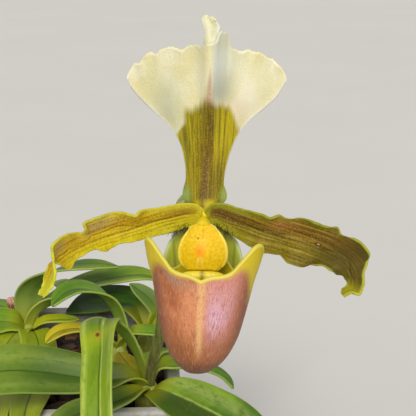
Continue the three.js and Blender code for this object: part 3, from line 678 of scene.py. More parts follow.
def dorsal_paint():
    """White with a green-yellow foot, dark veins, a maroon middle line and painted shade by its crease."""
    p = Paint("dorsal_paint")
    x, y, z = p.parts("local")
    margin = p.parts("grain")[2]
    grainy = p.noise((x, y, z), 4, 0.75, scale=3)
    cloud = p.noise((x * 0.16, y * 0.1, z * 0.12), 2)
    fan = x / (z * 0.0149 + 0.74)
    wander = p.noise((fan * 0.8, 0, z * 0.12), 2) - 0.5
    flank = p.bell(x, -9, 3.4) * p.bell(z, 24, 6)
    bright = p.bell(x, 9.6, 2.6) * p.bell(z, 26, 6)
    beside = x - (z * 0.055 - 0.3)
    # painted shade on the side of the middle crease turned from the light, grading to a pale bluish painted
    # light at the top
    crease_shade = p.ease(beside, -0.2, 0.8) * p.ease(beside, 6.8, 1.6) * p.ease(z, 22.5, 27)
    blush = p.bell(x, 6.8, 2.4) * p.bell(z, 23.2, 2.6)
    base = p.coats(
        p.mix("e3dcaa", "ece8c6", p.ease(cloud, 0.35, 0.65)),
        ("c2b274", p.ease(grainy, 0.42, 0.7) * 0.45),
        ("b2bba6", flank * 0.5),
        ("f4f0dc", bright * 0.6),
        ("f6f4e6", p.ease(margin, 1.2, 0.2) * 0.75),
        # painted shade beside the crease, bluish white higher up
        (p.mix("949c98", "c8d0d4", p.ease(z, 27, 34)), crease_shade * 0.6),
        ("dcb794", blush * 0.35),
        ("c9c8a4", p.ease(z, 35, 38) * 0.6),
    )

    teeth = p.noise((fan * 2.6, 5, 0), 1) - 0.5
    top = p.bell(x, 0.1, 2.2) * 2.6 + p.ease(x, 1, 4) * 0.9 - p.ease(x, 4.9, 7.6) * 3.6 + 22.9
    top = top + wander * 3.8 + teeth * 1.2
    right = (24.3 - z) * 0.34 + 5 + wander * 1.2
    left = wander * 1.6 - p.ease(z, 20, 16.5) * 2.2 - 5.2
    inside = p.ease(x - left, -0.6, 0.6) * p.ease(right - x, -0.9, 0.7)
    inside = inside.most(p.ease(z, 17.5, 13))
    green = p.ease(top - z, -1.3, 1.7) * inside
    patchy = p.noise((fan * 1.1, 0, z * 0.1), 2)
    broken = p.ease(p.noise((fan * 3, 2, z * 0.5)), 0.3, 0.55)
    leafy = p.coats(
        p.mix("ac9e04", "8a8206", p.ease(patchy, 0.35, 0.65)),
        ("87821f", p.ease(z, 12, 4) * 0.55),
    )
    for place, width, dark in DORSAL_VEINS:
        vein = p.bell(fan + wander * 0.9, place, width) * broken
        leafy = p.mix(leafy, "5c3e0a", vein * dark * 0.92)
    threads = p.noise((fan * 2.3, 9, z * 0.09))
    leafy = p.coats(
        leafy,
        ("6e4a08", p.bell(fan, 0.2, 1.8) * p.ease(z, 24, 15) * 0.55),
        ("c4ae06", p.ease(fan, 1.6, 3.2) * p.ease(z, 9, 15) * 0.5),
        ("5c4a06", p.bell(fan, 2.9, 0.16).most(p.bell(fan, 4, 0.14)) * 0.6),
        ("7a5e0a", p.ease(z, 17, 8) * 0.3),
        ("5a4406", p.ease(threads, 0.49, 0.36) * 0.7),
        ("ccb81c", p.ease(threads, 0.55, 0.66) * 0.45),
        ("d2c428", p.ease(grainy, 0.52, 0.68) * 0.45),
        ("6d5a10", p.ease(grainy, 0.46, 0.3) * 0.35),
        ("8fa552", p.ease(z, 6.8, 3.6) * p.ease(abs(x), 2.6, 4.4) * 0.85),
        ("c6b41e", p.ease(z, 3.4, 1.8) * p.ease(abs(x), 3, 1.6)),
        ("dcd68a", p.ease(margin, 1, 0.3) * p.ease(z, 6.5, 10) * 0.75),
    )
    tint = p.mix(base, leafy, green)

    middle = x - (z * 0.062 - 0.75) + wander * 0.4
    narrow = p.ease(z, 33.5, 23) * 0.72 + 0.2
    line = p.bell(middle, 0, narrow) * p.ease(z, 33.5, 29)
    pink = p.mix("4f3208", "a8705e", p.ease(z, 22.5, 26.5))
    tint = p.mix(tint, pink, line * p.ease(grainy, 0.9, 0.25) * 0.95)
    relief = grainy + cloud * 0.5
    return p.finish(tint, 0.55, relief, depth=0.12, strength=0.4, **soft(0.15, (1, 0.8, 0.5), 0.25))


# The tints of each petal, how strong its veins, shine and far tint are, and its patches of painted
# sheen in the dusk tint: the place across the flower and the width of each. The right petal's tints are
# darker than the left's, partly painted shade, and its far tint is painted shade. The scar is a pale mark
# with a dark rim.
PETAL_PALETTES = {
    "petal_left": {
        "upper": "a8860a", "lower": "bcac0c", "dusk": "a08a5c", "vein": "7a560a",
        "straw": "dcc41c", "rib": "623a0c", "heart": "6c4210", "foot": "b8b01c",
        "edge": "b4a428", "tip": "acae28", "far": "b0901c", "rim": "c8cb34",
        "strength": 0.6, "shine": 0.45, "far_share": 0.25,
        "patches": [(-23, 3.2), (-31.2, 1.6)],
    },
    # tints darker than the left petal's, partly its own colour and partly painted shade; its far tint is
    # painted shade on its outer end
    "petal_right": {
        "upper": "664a0e", "lower": "746810", "dusk": "8c5e26", "vein": "402508",
        "straw": "b29836", "rib": "3a1f06", "heart": "52330a", "foot": "9c9c12",
        "edge": "667010", "tip": "a49e1e", "far": "4c4414", "rim": "b0b03c",
        "strength": 0.55, "shine": 0.5, "far_share": 0.78,
        "patches": [(17.5, 4), (31.5, 2.5)], "scar": (22.6, -5.8),
    },
}


def petal_paint(name):
    """A crimped petal: fine brown veins, a dark line up its middle, and a bright yellow-green margin."""
    p = Paint(f"{name}_paint")
    palette = PETAL_PALETTES[name]
    margin = p.parts("grain")[2]
    u, v, _ = p.parts("share")
    along, side, _ = p.parts("vein")
    x, y, z = p.parts("local")
    grainy = p.noise((x, y, z), 3, 0.8, scale=3)
    cloud = p.noise((along * 0.11, side * 0.25, 1))
    wander = p.noise((along * 0.1, side * 0.2, 0), 2) - 0.5
    spot = side + wander * 0.7
    tint = p.mix(palette["lower"], palette["upper"], p.ease(spot + cloud * 2, 0, 2.4))
    # painted sheen in patches
    for place, width in palette["patches"]:
        patch = p.bell(x, place, width) * p.ease(v, 0.05, 0.6) * p.ease(cloud, 0.3, 0.5)
        tint = p.mix(tint, palette["dusk"], patch)
    streak = p.noise((along * 0.06, spot * 1.5, 2), 3, 0.6)
    fine = p.noise((along * 0.2, spot * 4, 6), 3, 0.7)
    lines = p.ease((spot * 8.5 + fine * 6).sin(), 0, 0.9) * p.ease(streak, 0.34, 0.56)
    fade = p.ease(u, 0.03, 0.15) * p.ease(margin, 0.3, 1.4)
    rib = p.bell(spot, 0, 0.26).most(p.bell(spot, 1.1, 0.2) * 0.5) * p.ease(u, 0.88, 0.6)
    heart = p.ease(along, 11, 4.5) * p.ease(along, 1.4, 2.8) * p.bell(side, 0.7, 1.3)
    foot = p.ease(u, 0.4, 0.1) * p.ease(v, 0.4, 0.8).most(p.ease(v, -0.2, -0.7)).most(p.ease(u, 0.05, 0.02))
    rim = p.ease(margin, p.ease(u, 0.7, 0.9) * 0.4 + 0.42, 0.12) * (p.ease(u, 0.55, 0.85) * 0.4 + 0.42)
    tint = p.coats(
        tint,
        (palette["straw"], p.ease(streak, 0.52, 0.38) * fade * palette["shine"]),
        (palette["vein"], lines * fade * palette["strength"]),
        (palette["vein"], p.ease(fine, 0.54, 0.66) * fade * palette["strength"] * 0.6),
        (palette["rib"], rib * p.ease(u, 0.02, 0.12) * 0.55),
        (palette["heart"], heart * p.ease(grainy, 0.3, 0.55) * 0.8),
        (palette["foot"], foot * 0.75),
        (palette["edge"], p.ease(margin, 2, 0.5) * p.ease(v, -0.2, 0.3) * 0.55),
        (palette["straw"], p.ease(grainy, 0.53, 0.64) * 0.5),
        (palette["heart"], p.ease(grainy, 0.47, 0.36) * 0.5),
        # a tint towards the outer end, which on the right petal is painted shade
        (palette["far"], p.ease(u, 0.5, 0.75) * palette["far_share"]),
        (palette["tip"], p.ease(u, 0.86, 0.96) * 0.7),
        (palette["rim"], rim),
    )
    if "scar" in palette:
        place, height = palette["scar"]
        near = p.bell(x + z * 0.5, place, 0.62) * p.bell(z, height, 0.33)
        tint = p.coats(
            tint,
            (palette["rib"], p.ease(near, 0.12, 0.35) * 0.8),
            ("c2a06c", p.ease(near, 0.55, 0.8) * 0.75),
        )
    relief = grainy * 0.6 + fine * 0.4 + streak * 0.3
    return p.finish(tint, 0.55, relief, depth=0.22, strength=0.5, **soft(0.04, specular=0.15))


def lip_paint():
    """Salmon, finely streaked, with a painted lilac highlight, a tan midline, a yellow rim and inside."""
    p = Paint("lip_paint")
    angle, below, z = p.parts("lip")
    inner = p.parts("inner")[0]
    streak = p.noise((angle * 0.62, z * 0.5, 0), 4, 0.8)
    fine = p.noise((angle, z * 1.5, 3), 3, 0.8)
    cloud = p.noise((angle * 0.05, z * 0.2, 7))
    # painted highlight: a lilac patch on the right, and lighter spots at its core
    lilac_highlight = p.ease(angle, 2, 14) * p.ease(angle, 54, 34) * p.bell(z, -18, 5.6)
    highlight_core = p.bell(angle, 22, 9) * p.bell(z, -20.5, 3.6) * p.ease(streak, 0.4, 0.6)
    dusk = p.bell(angle, -36, 28) * p.ease(below, 0.2, 1.2) * p.ease(below, 4.5, 1.5)
    warm = p.bell(angle, -13, 13) * p.bell(z, -18, 6)
    line = p.bell(angle + (streak - 0.5) * 9, 1.5, 5) * p.ease(z, -30, -24)
    reach = p.bell(abs(angle), 80, 28) * 8.2 + p.bell(angle, 74, 18) * 2.5 + 0.1
    band = p.ease(below + (streak - 0.5) * 3 - reach, reach * 0.3 + 0.7, reach * -0.25 - 0.5)
    skin = 1 - band * 0.7
    tint = p.coats(
        p.mix("a05a34", "c0784e", p.ease(cloud, 0.35, 0.65)),
        ("cc8470", p.ease(angle, -8, 16) * 0.75),
        # painted highlight: the lilac patch and its lighter core
        ("c898a4", lilac_highlight * p.ease(streak + cloud * 0.6, 0.55, 0.85) * 0.8),
        ("c9b6dc", highlight_core * 0.7),
        ("8f7866", dusk * 0.8),
        ("e09a6c", warm * 0.5),
        # painted shade towards both flanks
        ("6c381a", p.ease(abs(angle), 30, 72) * 0.85),
        ("845024", p.ease(z, -20, -28) * 0.8),
        ("4c2a0c", p.ease(z, -28, -32) * 0.85),
        ("e4b47a", line * 0.75),
        ("cdb908", band * 0.92),
        ("e0aa80", p.ease(streak, 0.51, 0.66) * skin * 0.45),
        ("7e4430", p.ease(fine, 0.5, 0.62) * skin * 0.4),
        ("7a3c28", p.ease(streak, 0.47, 0.34) * skin * 0.5),
        ("dace5c", p.ease(below, 0.45, 0.1) * 0.8),
    )
    cup = p.coats(
        p.mix("ccbc0e", "a8980e", p.ease(below, 2, 14)),
        ("8a5a28", p.ease(fine, 0.55, 0.72) * p.ease(below, 4, 10) * 0.6),
    )
    relief = streak * 0.6 + fine * 0.5
    tint = p.mix(tint, cup, inner)
    return p.finish(tint, 0.45, relief, depth=0.22, strength=0.45, **soft(0.08, (1, 0.4, 0.25), 0.3))


def synsepal_paint():
    """Yellow-green and finely veined, with a pale margin."""
    p = Paint("synsepal_paint")
    along, across, margin = p.parts("grain")
    grainy = p.noise((along, across * 2.6, 0), 4, 0.7)
    lines = (across * 2.6 + p.noise((along * 0.08, across * 0.3, 0)) * 2).sin()
    tint = p.coats(
        p.mix("8e981a", "babc30", grainy),
        ("5f7020", p.ease(lines, 0.3, 1) * 0.5),
        ("a6b33c", p.ease(abs(across), 5.5, 2) * 0.4),
        ("b7c886", p.ease(margin, 1.3, 0.2) * 0.75),
    )
    return p.finish(tint, 0.5, grainy + lines * 0.3, depth=0.15, strength=0.4, **soft(0.15))


def staminode_paint():
    """Glossy yellow, with an orange boss, an orange line above it and pale rays below."""
    p = Paint("staminode_paint")
    along, across, margin = p.parts("grain")
    u, v, _ = p.parts("share")
    grainy = p.noise((along, across, 0), 3, 0.6, scale=1.6)
    boss = p.bell(v, -0.09, 0.16) * p.bell(u, 0.57, 0.13)
    line = p.bell(v, 0, 0.06) * p.ease(u, 0.36, 0.16)
    speck = p.bell(across, -0.95, 0.2) * p.bell(along, 3, 0.2)
    rays = p.bell(abs(v + 0.09) - (u - 0.62) * 0.5, 0, 0.03) * p.ease(u, 0.66, 0.72) * p.ease(u, 0.98, 0.92)
    tint = p.coats(
        p.mix("d4a800", "e8c402", p.ease(grainy, 0.3, 0.7)),
        ("e2b204", p.ease(v, 0.05, 0.7) * p.ease(u, 0.65, 0.3) * 0.45),
        ("f8bc08", p.bell(v, -0.06, 0.25) * p.bell(u, 0.6, 0.2) * 0.6),
        ("f08c00", boss * 0.85),
        ("d98c06", line * 0.7),
        ("6a3010", speck),
        ("fdf08c", rays * 0.35),
        ("f4e670", p.ease(margin, 0.75, 0.35) * 0.6),
    )
    return p.finish(tint, 0.5, grainy, depth=0.1, strength=0.35, **soft(0.08, (1, 0.8, 0.2), 0.3))


def column_paint():
    """Yellow and finely warty, with a paler flank and a dark slit at the foot of the stigma."""
    p = Paint("column_paint")
    x, y, z = p.parts("local")
    grainy = p.noise((x, y, z), 4, 0.7, scale=2.4)
    bumps = p.cells((x, y, z), 1.5)
    tint = p.coats(
        p.mix("dccb20", "c3b81e", p.ease(y, -4, -1)),
        ("f4cf14", p.ease(z, -3.6, -1) * 0.6),
        ("d6d690", p.ease(x, 3.8, 5) * 0.7),
        ("f6ef9c", p.ease(bumps, 0.25, 0.05) * 0.3),
        ("a08a18", p.ease(grainy, 0.6, 0.8) * 0.4),
        ("e6cf2a", p.ease(z, -10.4, -11)),
        ("6a5810", p.bell(x, 0.4, 0.5) * p.ease(z, -10.6, -11.6) * 0.7),
    )
    return p.finish(tint, 0.4, grainy * 0.4 - bumps, depth=0.2, strength=0.5, **soft(0.15, (1, 0.7, 0.1)))


def stalk_paint():
    """A fleshy stalk: streaked along its length and spotted with purple-brown."""
    p = Paint("stalk_paint")
    x, y, z = p.place()
    streak = p.noise((x * 0.9, y * 0.12, z * 0.12))
    grainy = p.noise((x, y, z), 4, 0.7, scale=1.4)
    tint = p.coats(
        p.mix("767c2e", "54541f", p.ease(streak, 0.35, 0.65)),
        ("4c3420", p.ease(grainy, 0.55, 0.7) * 0.7),
    )
    return p.finish(tint, 0.55, grainy, depth=0.2, strength=0.4, **soft(0.08))


def bract_paint():
    """Green and ribbed, with a purple-brown foot and a pale margin."""
    p = Paint("bract_paint")
    along, across, margin = p.parts("grain")
    lines = (across * 3.4).sin()
    grainy = p.noise((along, across, 0), 4, 0.7, scale=1.3)
    tint = p.coats(
        p.mix("8f9a45", "a9b260", grainy),
        ("6b6a2c", p.ease(lines, 0.2, 1) * 0.4),
        ("6a3a2c", p.ease(grainy, 0.6, 0.72) * p.ease(along, 14, 2) * 0.8),
        ("c3c68c", p.ease(margin, 0.9, 0.2) * 0.6),
    )
    return p.finish(tint, 0.5, grainy + lines * 0.4, depth=0.15, strength=0.4, **soft(0.1))


def base_paint():
    """The foot of a growth: yellow-green above, and brown and papery where it meets the bark."""
    p = Paint("growth_base_paint")
    x, y, z = p.place()
    streak = p.noise((x * 0.8, y * 0.8, z * 0.1))
    grainy = p.noise((x, y, z), 4, 0.7, scale=0.9)
    tint = p.coats(
        p.mix("8c9a35", "b4b74a", streak),
        ("6e4a28", p.ease(z + grainy * 4, 90, 85.5) * 0.9),
    )
    return p.finish(tint, 0.5, streak + grainy * 0.4, depth=0.3, strength=0.5, **soft(0.06))


def dry_paint():
    """The brown stub of a dried stalk, with a pale torn end."""
    p = Paint("dry_stub_paint")
    x, y, z = p.place()
    streak = p.noise((x * 1.6, y * 1.6, z * 0.25), 4, 0.7)
    tint = p.coats(
        p.mix("a4684a", "6a3c28", p.ease(streak, 0.35, 0.65)),
        ("e0ac98", p.ease(z, 100.6, 102.6) * 0.8),
    )
    return p.finish(tint, 0.8, streak, depth=0.4, strength=0.6)


def hair_paint(name, colour):
    """Hairs are too fine to show more than a colour."""
    return Paint(name).finish(colour, 0.55)


def clay_paint():
    """Weathered grey clay: mottled, pitted, with brown stains and a worn pale rim."""
    p = Paint("clay_paint")
    x, y, z = p.place()
    cloud = p.noise((x, y, z), 4, 0.6, scale=0.045)
    mottle = p.noise((x, y, z), 5, 0.7, scale=0.35)
    grit = p.noise((x, y, z), 3, 0.6, scale=2.4)
    pits = p.cells((x, y, z), 0.55)
    drips = p.noise((x * 0.12, y * 0.12, z * 0.02))
    relief = mottle * 0.5 + grit * 0.25 + p.ease(pits, 0.05, 0.22) * 0.4
    tint = p.coats(
        p.mix("7f7e79", "9b9993", p.ease(cloud, 0.35, 0.65)),
        ("b7b4ac", p.ease(mottle, 0.52, 0.72) * 0.7),
        ("5f5c55", p.ease(mottle, 0.45, 0.3) * 0.6),
        ("7c6247", p.ease(drips + mottle * 0.3, 0.62, 0.8) * 0.6),
        ("6b7350", p.ease(z + mottle * 18, 26, 8) * 0.3),
        ("c4c1b8", p.ease(z + mottle * 3, 91.5, 93.8) * 0.7),
        ("4a463f", p.ease(pits, 0.16, 0.06) * 0.5),
    )
    return p.finish(tint, 0.82, relief, depth=0.6, strength=0.6)


def bark_paint():
    """Fir bark: brown layers along each chip, which differ from chip to chip."""
    p = Paint("bark_paint")
    x, y, z = p.parts("own")
    kind = p.parts("kind")[0]
    layers = p.noise((x * 0.12, y * 0.7, z * 2.2), 4, 0.65)
    grit = p.noise((x, y, z), 4, 0.7, scale=1.3)
    tint = p.coats(
        p.mix("2c1c12", "5f3f28", p.ease(layers, 0.3, 0.7)),
        ("160e09", p.ease(kind, 0.4, 0.1) * 0.75),
        ("6e5c4c", p.bell(kind, 0.55, 0.07) * 0.5),
        ("8c6238", p.ease(kind + grit * 0.3, 0.85, 1.15) * 0.75),
        ("18100b", p.ease(grit, 0.5, 0.3) * 0.6),
    )
    return p.finish(tint, 0.88, layers + grit * 0.5, depth=0.6, strength=0.7)


def floor_paint():
    """Plain and pale."""
    p = Paint("floor_paint")
    x, y, z = p.place()
    cloud = p.noise((x, y, z), scale=0.004)
    return p.finish(p.mix("d9d7d2", "e0deda", cloud), 0.7)


# ---------------------------------------------------------------- pot and bark
def square_ring(half, corner, z, steps=9):
    """A square ring of points with rounded corners, at a height z."""
    ring = []
    for sx, sy, start in ((1, 1, 0), (-1, 1, 90), (-1, -1, 180), (1, -1, 270)):
        for a in np.radians(np.linspace(start, start + 90, steps)):
            x, y = corner * math.cos(a), corner * math.sin(a)
            ring.append((sx * (half - corner) + x, sy * (half - corner) + y, z))
    return np.array(ring)


def inner_half(z):
    """Half the width of the pot's inside at a height z."""
    share = (z - POT["floor"]) / (POT["height"] - POT["floor"])
    return lerp(POT["foot_half"], POT["rim_half"] - POT["step"], share) - POT["wall"]


def rounded(start, corner, end, radius, steps=5):
    """Points of an outline that turns a corner with the given radius."""
    corner = np.array(corner, float)
    one = corner + radius * unit(np.array(start, float) - corner)
    two = corner + radius * unit(np.array(end, float) - corner)
    t = np.linspace(0, 1, steps)[:, None]
    return (1 - t) ** 2 * one + 2 * t * (1 - t) * corner + t**2 * two


def pot_shape():
    """The pot, with a banded rim and eased edges, and the plugs that its drain holes are cut with."""
    height, rim, foot, corner = POT["height"], POT["rim_half"], POT["foot_half"], POT["corner"]
    band = height - POT["band"]
    wall_top = (rim - POT["step"], band - 0.4)
    inside_top, inside_floor = (inner_half(height), height), (inner_half(POT["floor"]), POT["floor"])
    outline = [
        (INNER_CORNER, [(foot - FOOT_RING, 0)]),
        (INNER_CORNER, rounded((0, 0), (foot, 0), wall_top, POT_EDGES["foot"])),
        (corner, rounded((foot, 0), wall_top, (rim, band), POT_EDGES["step"])),
        (corner, rounded(wall_top, (rim, band), (rim, height), POT_EDGES["band"])),
        (corner, rounded((rim, band), (rim, height), inside_top, POT_EDGES["rim"])),
        (INNER_CORNER, rounded((rim, height), inside_top, inside_floor, POT_EDGES["rim_inside"])),
        (INNER_CORNER, rounded(inside_top, inside_floor, (0, POT["floor"]), POT_EDGES["floor"])),
    ]
    loops = [square_ring(half, bend, z) for bend, part in outline for half, z in part]
    plugs = []
    around = np.arange(DRAIN["sides"]) * 2 * math.pi / DRAIN["sides"]
    for a in np.radians([45, 135, 225, 315]):
        x = DRAIN["out"] * math.cos(a) + DRAIN["radius"] * np.cos(around)
        y = DRAIN["out"] * math.sin(a) + DRAIN["radius"] * np.sin(around)
        plugs.append(stacked([points(x, y, z) for z in DRAIN["plug"]]))
    return stacked(loops), joined(plugs)


def chip_shape(random):
    """One chip of bark: a flat block with a torn outline, about its own centre."""
    length = random.uniform(*CHIP_LENGTHS)
    size = np.array([length, length * random.uniform(*CHIP_WIDTHS), random.uniform(*CHIP_THICKNESSES)]) / 2
    block = np.stack(np.meshgrid(*(np.linspace(-1, 1, n) for n in CHIP_GRID), indexing="ij"), -1)
    skin = (np.abs(block) == 1).any(-1)
    index = np.zeros(CHIP_GRID, int)
    index[skin] = np.arange(skin.sum())
    at = block[skin]
    inset = 1 - 0.16 * (np.abs(at[:, [1, 2, 0]]) > 0.9) - 0.08 * (np.abs(at[:, [2, 0, 1]]) > 0.9)
    at = at * inset * size
    at = at + random.normal(0, 1, at.shape) * np.array(CHIP_ROUGHNESS)
    at[:, 2] += random.uniform(-0.05, 0.05) * at[:, 0] ** 2 / 3
    ends = (index[0], index[-1][:, ::-1])
    sides = (index[:, 0][:, ::-1], index[:, -1], index[:, :, 0], index[:, ::-1, -1])
    return at, [grid_faces(wall) for wall in (*ends, *sides)]


def bark_shape():
    """The bed and the chips on it, which keep clear of the pot and of the growths."""
    random = np.random.default_rng(BARK_SEED)
    heights = (POT["floor"] + BARK["gap"], BARK["lowest"])
    bed = stacked([square_ring(inner_half(z) - BARK["gap"], INNER_CORNER, z) for z in heights])
    shapes = [Shape(bed.at, bed.faces, own=bed.at, kind=np.zeros((len(bed.at), 3)))]
    reach = inner_half(BARK["top"]) - 1
    for _ in range(CHIP_TRIES * BARK["chips"]):
        own, faces = chip_shape(random)
        spot = random.uniform(-reach, reach, 2)
        spin = random.uniform(0, math.pi)
        tip, lean = random.normal(0, CHIP_TILT, 2)
        height = random.uniform(*CHIP_HEIGHTS)
        x, y, z = own.T
        y, z = swung(y, z, tip)
        x, z = swung(x, z, lean)
        at = turned(points(x, y, z), spin) + np.array([*spot, height])
        placed = turned(at, POT_TURN)
        near = [np.hypot(placed[:, 0] - cx, placed[:, 1] - cy).min() for cx, cy in CROWNS.values()]
        outside = np.abs(at[:, :2]).max() > reach or at[:, 2].max() > CHIP_LIMIT
        if outside or min(near) < CHIP_CLEARANCE:
            continue
        kind = np.full((len(at), 3), random.uniform())
        shapes.append(Shape(at, faces, own=own + 40 * random.uniform(), kind=kind))
        if len(shapes) > BARK["chips"]:
            break
    bark = joined([s.outward() for s in shapes])
    bark.at = turned(bark.at, POT_TURN)
    return bark


# ---------------------------------------------------------------- leaves
# Each leaf: its width, its roll in degrees at even steps from its crown to its tip, its finish, and the
# points that it runs through. They follow the CAD model, and are fitted closer to the photograph in places.
LEAVES = {
    "front_leaf_arching": (14, [75, 72, 45, 8, -16, -18, -12, -6, 0], "bright", [
        (34.5, -25, 100.5), (30.5, -25, 108.5), (26.5, -27, 114.5), (23.5, -33.5, 119.5), (23.5, -40, 120),
        (25, -51.5, 116.5), (25.5, -63, 110.5), (26, -71, 101), (26.5, -78.5, 90), (28, -86, 74),
    ]),
    "front_leaf_right": (18, [-10, -28, -34, -30], "lit", [
        (42.5, -32.5, 93.5), (49.5, -39.5, 94.4), (56.5, -46.5, 94.4), (63.5, -53, 93.7),
        (69.5, -60.5, 92.5), (74.5, -69.5, 90.5), (77.5, -80, 84.5),
    ]),
    "front_leaf_inner": (12, [-34, -22, 2], "fresh", [
        (41.5, -22.5, 96), (47, -22, 97), (53.5, -23, 97.5), (59.5, -24.5, 96.5), (64.5, -28, 95.5),
        (67.5, -31.5, 93.5),
    ]),
    "front_leaf_rear": (11, [0, 0], "fresh", [
        (39, -18, 97), (42, -13.5, 97.5), (46.5, -9.5, 97), (52.5, -7.5, 94.5), (57, -5.5, 90),
    ]),
    "front_leaf_left": (18.5, [0, 35, 50, 50, 35], "blue", [
        (32, -28.5, 95), (23, -33, 96.9), (13.5, -37, 100.4), (3.5, -42.5, 104.7), (-6, -51, 109.2),
        (-15.5, -61, 111.3), (-23, -73, 110.3),
    ]),
    "front_leaf_low": (12, [0, 10, 10], "blue", [
        (35, -32, 92), (29.5, -41, 93.5), (24, -49.5, 95.5), (18.5, -57.5, 97.5), (13.5, -66.5, 98),
        (9, -76.5, 96),
    ]),
    "front_leaf_yellowed": (9, [0, 0], "old", [
        (32.5, -20, 94), (29, -14, 95.5), (26, -9.5, 97),
    ]),
    "left_leaf_tall": (12.5, [75, 70, 25, 0, 0], "blue", [
        (-12.5, 25.5, 99.5), (-12, 26.5, 105), (-8.5, 26.5, 111), (-2.5, 26, 115.5), (6.5, 25, 118.5),
        (16, 25, 119), (24, 24.5, 118),
    ]),
    "left_leaf_crossing": (15, [40, 10, -12, -22, -22, -18], "blue", [
        (-9, 26, 97.5), (-2.5, 30, 101), (5.5, 33, 105), (14, 36, 107.5), (23.5, 37.5, 109),
        (32.5, 36.5, 110), (39.5, 34.5, 109),
    ]),
    "left_leaf_short": (9, [0, 0], "olive", [
        (-6.5, 22.5, 95), (-1.5, 23, 96), (3.5, 23.5, 96), (8, 24.5, 96),
    ]),
    "left_leaf_forward_inner": (14, [0, 0], "olive", [
        (-8.5, 13.5, 95), (-4.5, 1, 95), (-2.5, -13.5, 94), (-1.5, -30.5, 93), (-0.5, -50, 94.5),
        (0.5, -67.5, 92),
    ]),
    "left_leaf_forward": (13, [0, 0], "olive", [
        (-14.5, 14.5, 94.5), (-17, 3, 94), (-16, -11.5, 94), (-13.5, -29.5, 93), (-10.5, -49, 94),
        (-8, -66.5, 91),
    ]),
    "left_leaf_side": (15, [0, 32, 36], "fresh", [
        (-15.5, 18, 96.2), (-21, 16.5, 98), (-29, 14.5, 98.4), (-40, 11, 96.5), (-50, 4.5, 92.2),
    ]),
    "left_leaf_rear": (12, [0, 0], "fresh", [
        (-18.5, 33, 93), (-27, 44.5, 93.2), (-32.5, 50.5, 92.4), (-39, 56.5, 90), (-52.5, 67.5, 86),
        (-66.5, 75.5, 77),
    ]),
    "left_leaf_back": (14, [0, 0], "fresh", [
        (-13, 37, 98.5), (-10.5, 52, 99.5), (-6.5, 68, 95), (-3, 82, 84),
    ]),
    "middle_leaf_arching": (14.5, [40, 20, 10, 0], "fresh", [
        (25, 6, 99.5), (23, 6, 107), (20, 3.5, 113.5), (15.5, -0.5, 117.5), (10, -5.5, 119.5),
        (6.5, -9.5, 118.5), (4, -13.5, 116.5),
    ]),
    "middle_leaf_right": (13, [0, 0], "fresh", [
        (29.5, 5.5, 96.5), (35, 5, 98), (41, 5, 97.5), (46, 3.5, 96), (50, 1.5, 93),
    ]),
    "middle_leaf_yellowed": (9, [0, 20], "old", [
        (21, 4, 95.5), (16, 2.5, 99), (10.5, 0, 102), (5, -3, 102.5), (2, -5.5, 101.5), (0, -8.5, 100),
    ]),
    "back_leaf_upright": (8, [38, 40, 40], "blue", [
        (37, 20.5, 96.5), (38.7, 21, 101), (35.3, 21.7, 106.5), (28.3, 22.5, 111.8),
    ]),
    "back_leaf_left": (17, [0, 40, 45], "shade", [
        (30.5, 30, 98), (25, 35.5, 98.5), (17, 39.5, 97.5), (8.5, 42, 95.5), (0, 43, 91.5),
    ]),
    "back_leaf_rear": (13, [0, 0], "fresh", [
        (41, 31, 101), (46, 47, 104.5), (53, 66, 106.5), (60, 86, 101), (64, 102, 88),
    ]),
    "back_leaf_right": (13, [0, 0], "fresh", [
        (46, 19, 98.5), (54, 21.5, 101), (62, 25.5, 98.5), (67, 29, 90),
    ]),
}
# Where a leaf is creased across, how much of the usual fold the flatter ones have, and how far along its
# width's profile a broad-footed one starts.
LEAF_CREASES = {"front_leaf_arching": 0.34}
NO_CREASE = -1  # a place off the leaf
LEAF_FOLDS = {
    "front_leaf_right": 0.3, "left_leaf_tall": 0.2, "left_leaf_forward_inner": 0.4, "left_leaf_forward": 0.4,
    "left_leaf_side": 0.6, "left_leaf_rear": 0.5,
}
LEAF_FEET = {"left_leaf_forward_inner": 0.15, "left_leaf_forward": 0.15}

leaf_width = profile([
    (0, 0.4), (0.1, 0.58), (0.25, 0.9), (0.5, 1), (0.72, 0.93), (0.87, 0.68), (0.95, 0.38), (1, 0.08),
])
leaf_fold = profile([(0, 62), (0.15, 42), (0.4, 25), (1, 14)])


def leaf_shape(name):
    """A strap leaf: folded along its midrib, with recurved and gently rippled margins."""
    width, roll, _, route = LEAVES[name]
    x, y = CROWNS[name.split("_")[0]]
    tip = route[-1]
    spine = Spine([(x, y, CROWN_Z - LEAF_ROOT), *route], (tip[1] - y, x - tip[0], 0))
    roll_at = profile(list(zip(np.linspace(0, 1, len(roll)), np.radians(roll))))
    foot = LEAF_FEET.get(name, 0)
    folded = LEAF_FOLDS.get(name, 1)
    crease = LEAF_CREASES.get(name, NO_CREASE)

    def place(u, v):
        at, side, up = spine.frame(u, roll_at(u))
        half = (width / 2 * leaf_width(lerp(foot, 1, u)))[..., None]
        fold = np.radians(leaf_fold(u)) * folded * (1 - bell(u, crease, LEAF_CREASE_REACH))
        flank = np.sqrt(v**2 + LEAF_FOLD_BLUNT**2) - LEAF_FOLD_BLUNT
        lift = flank * np.sin(fold) - LEAF_RECURVE * v**4
        wave = np.sin(spine.length * u / LEAF_WAVE + 1.7 * np.sign(v)) * smoothstep(0.15, 0.4, u)
        ripple = LEAF_RIPPLE * width * v**2 * wave
        across = side * half * (v * np.cos(fold))[..., None]
        return at - across + up * (half * lift[..., None] + ripple[..., None])

    rows = round(spine.length / LEAF_STEP)
    return sheet(place, rows, LEAF_COLUMNS, LEAF_THICKNESS, edge=0.04)


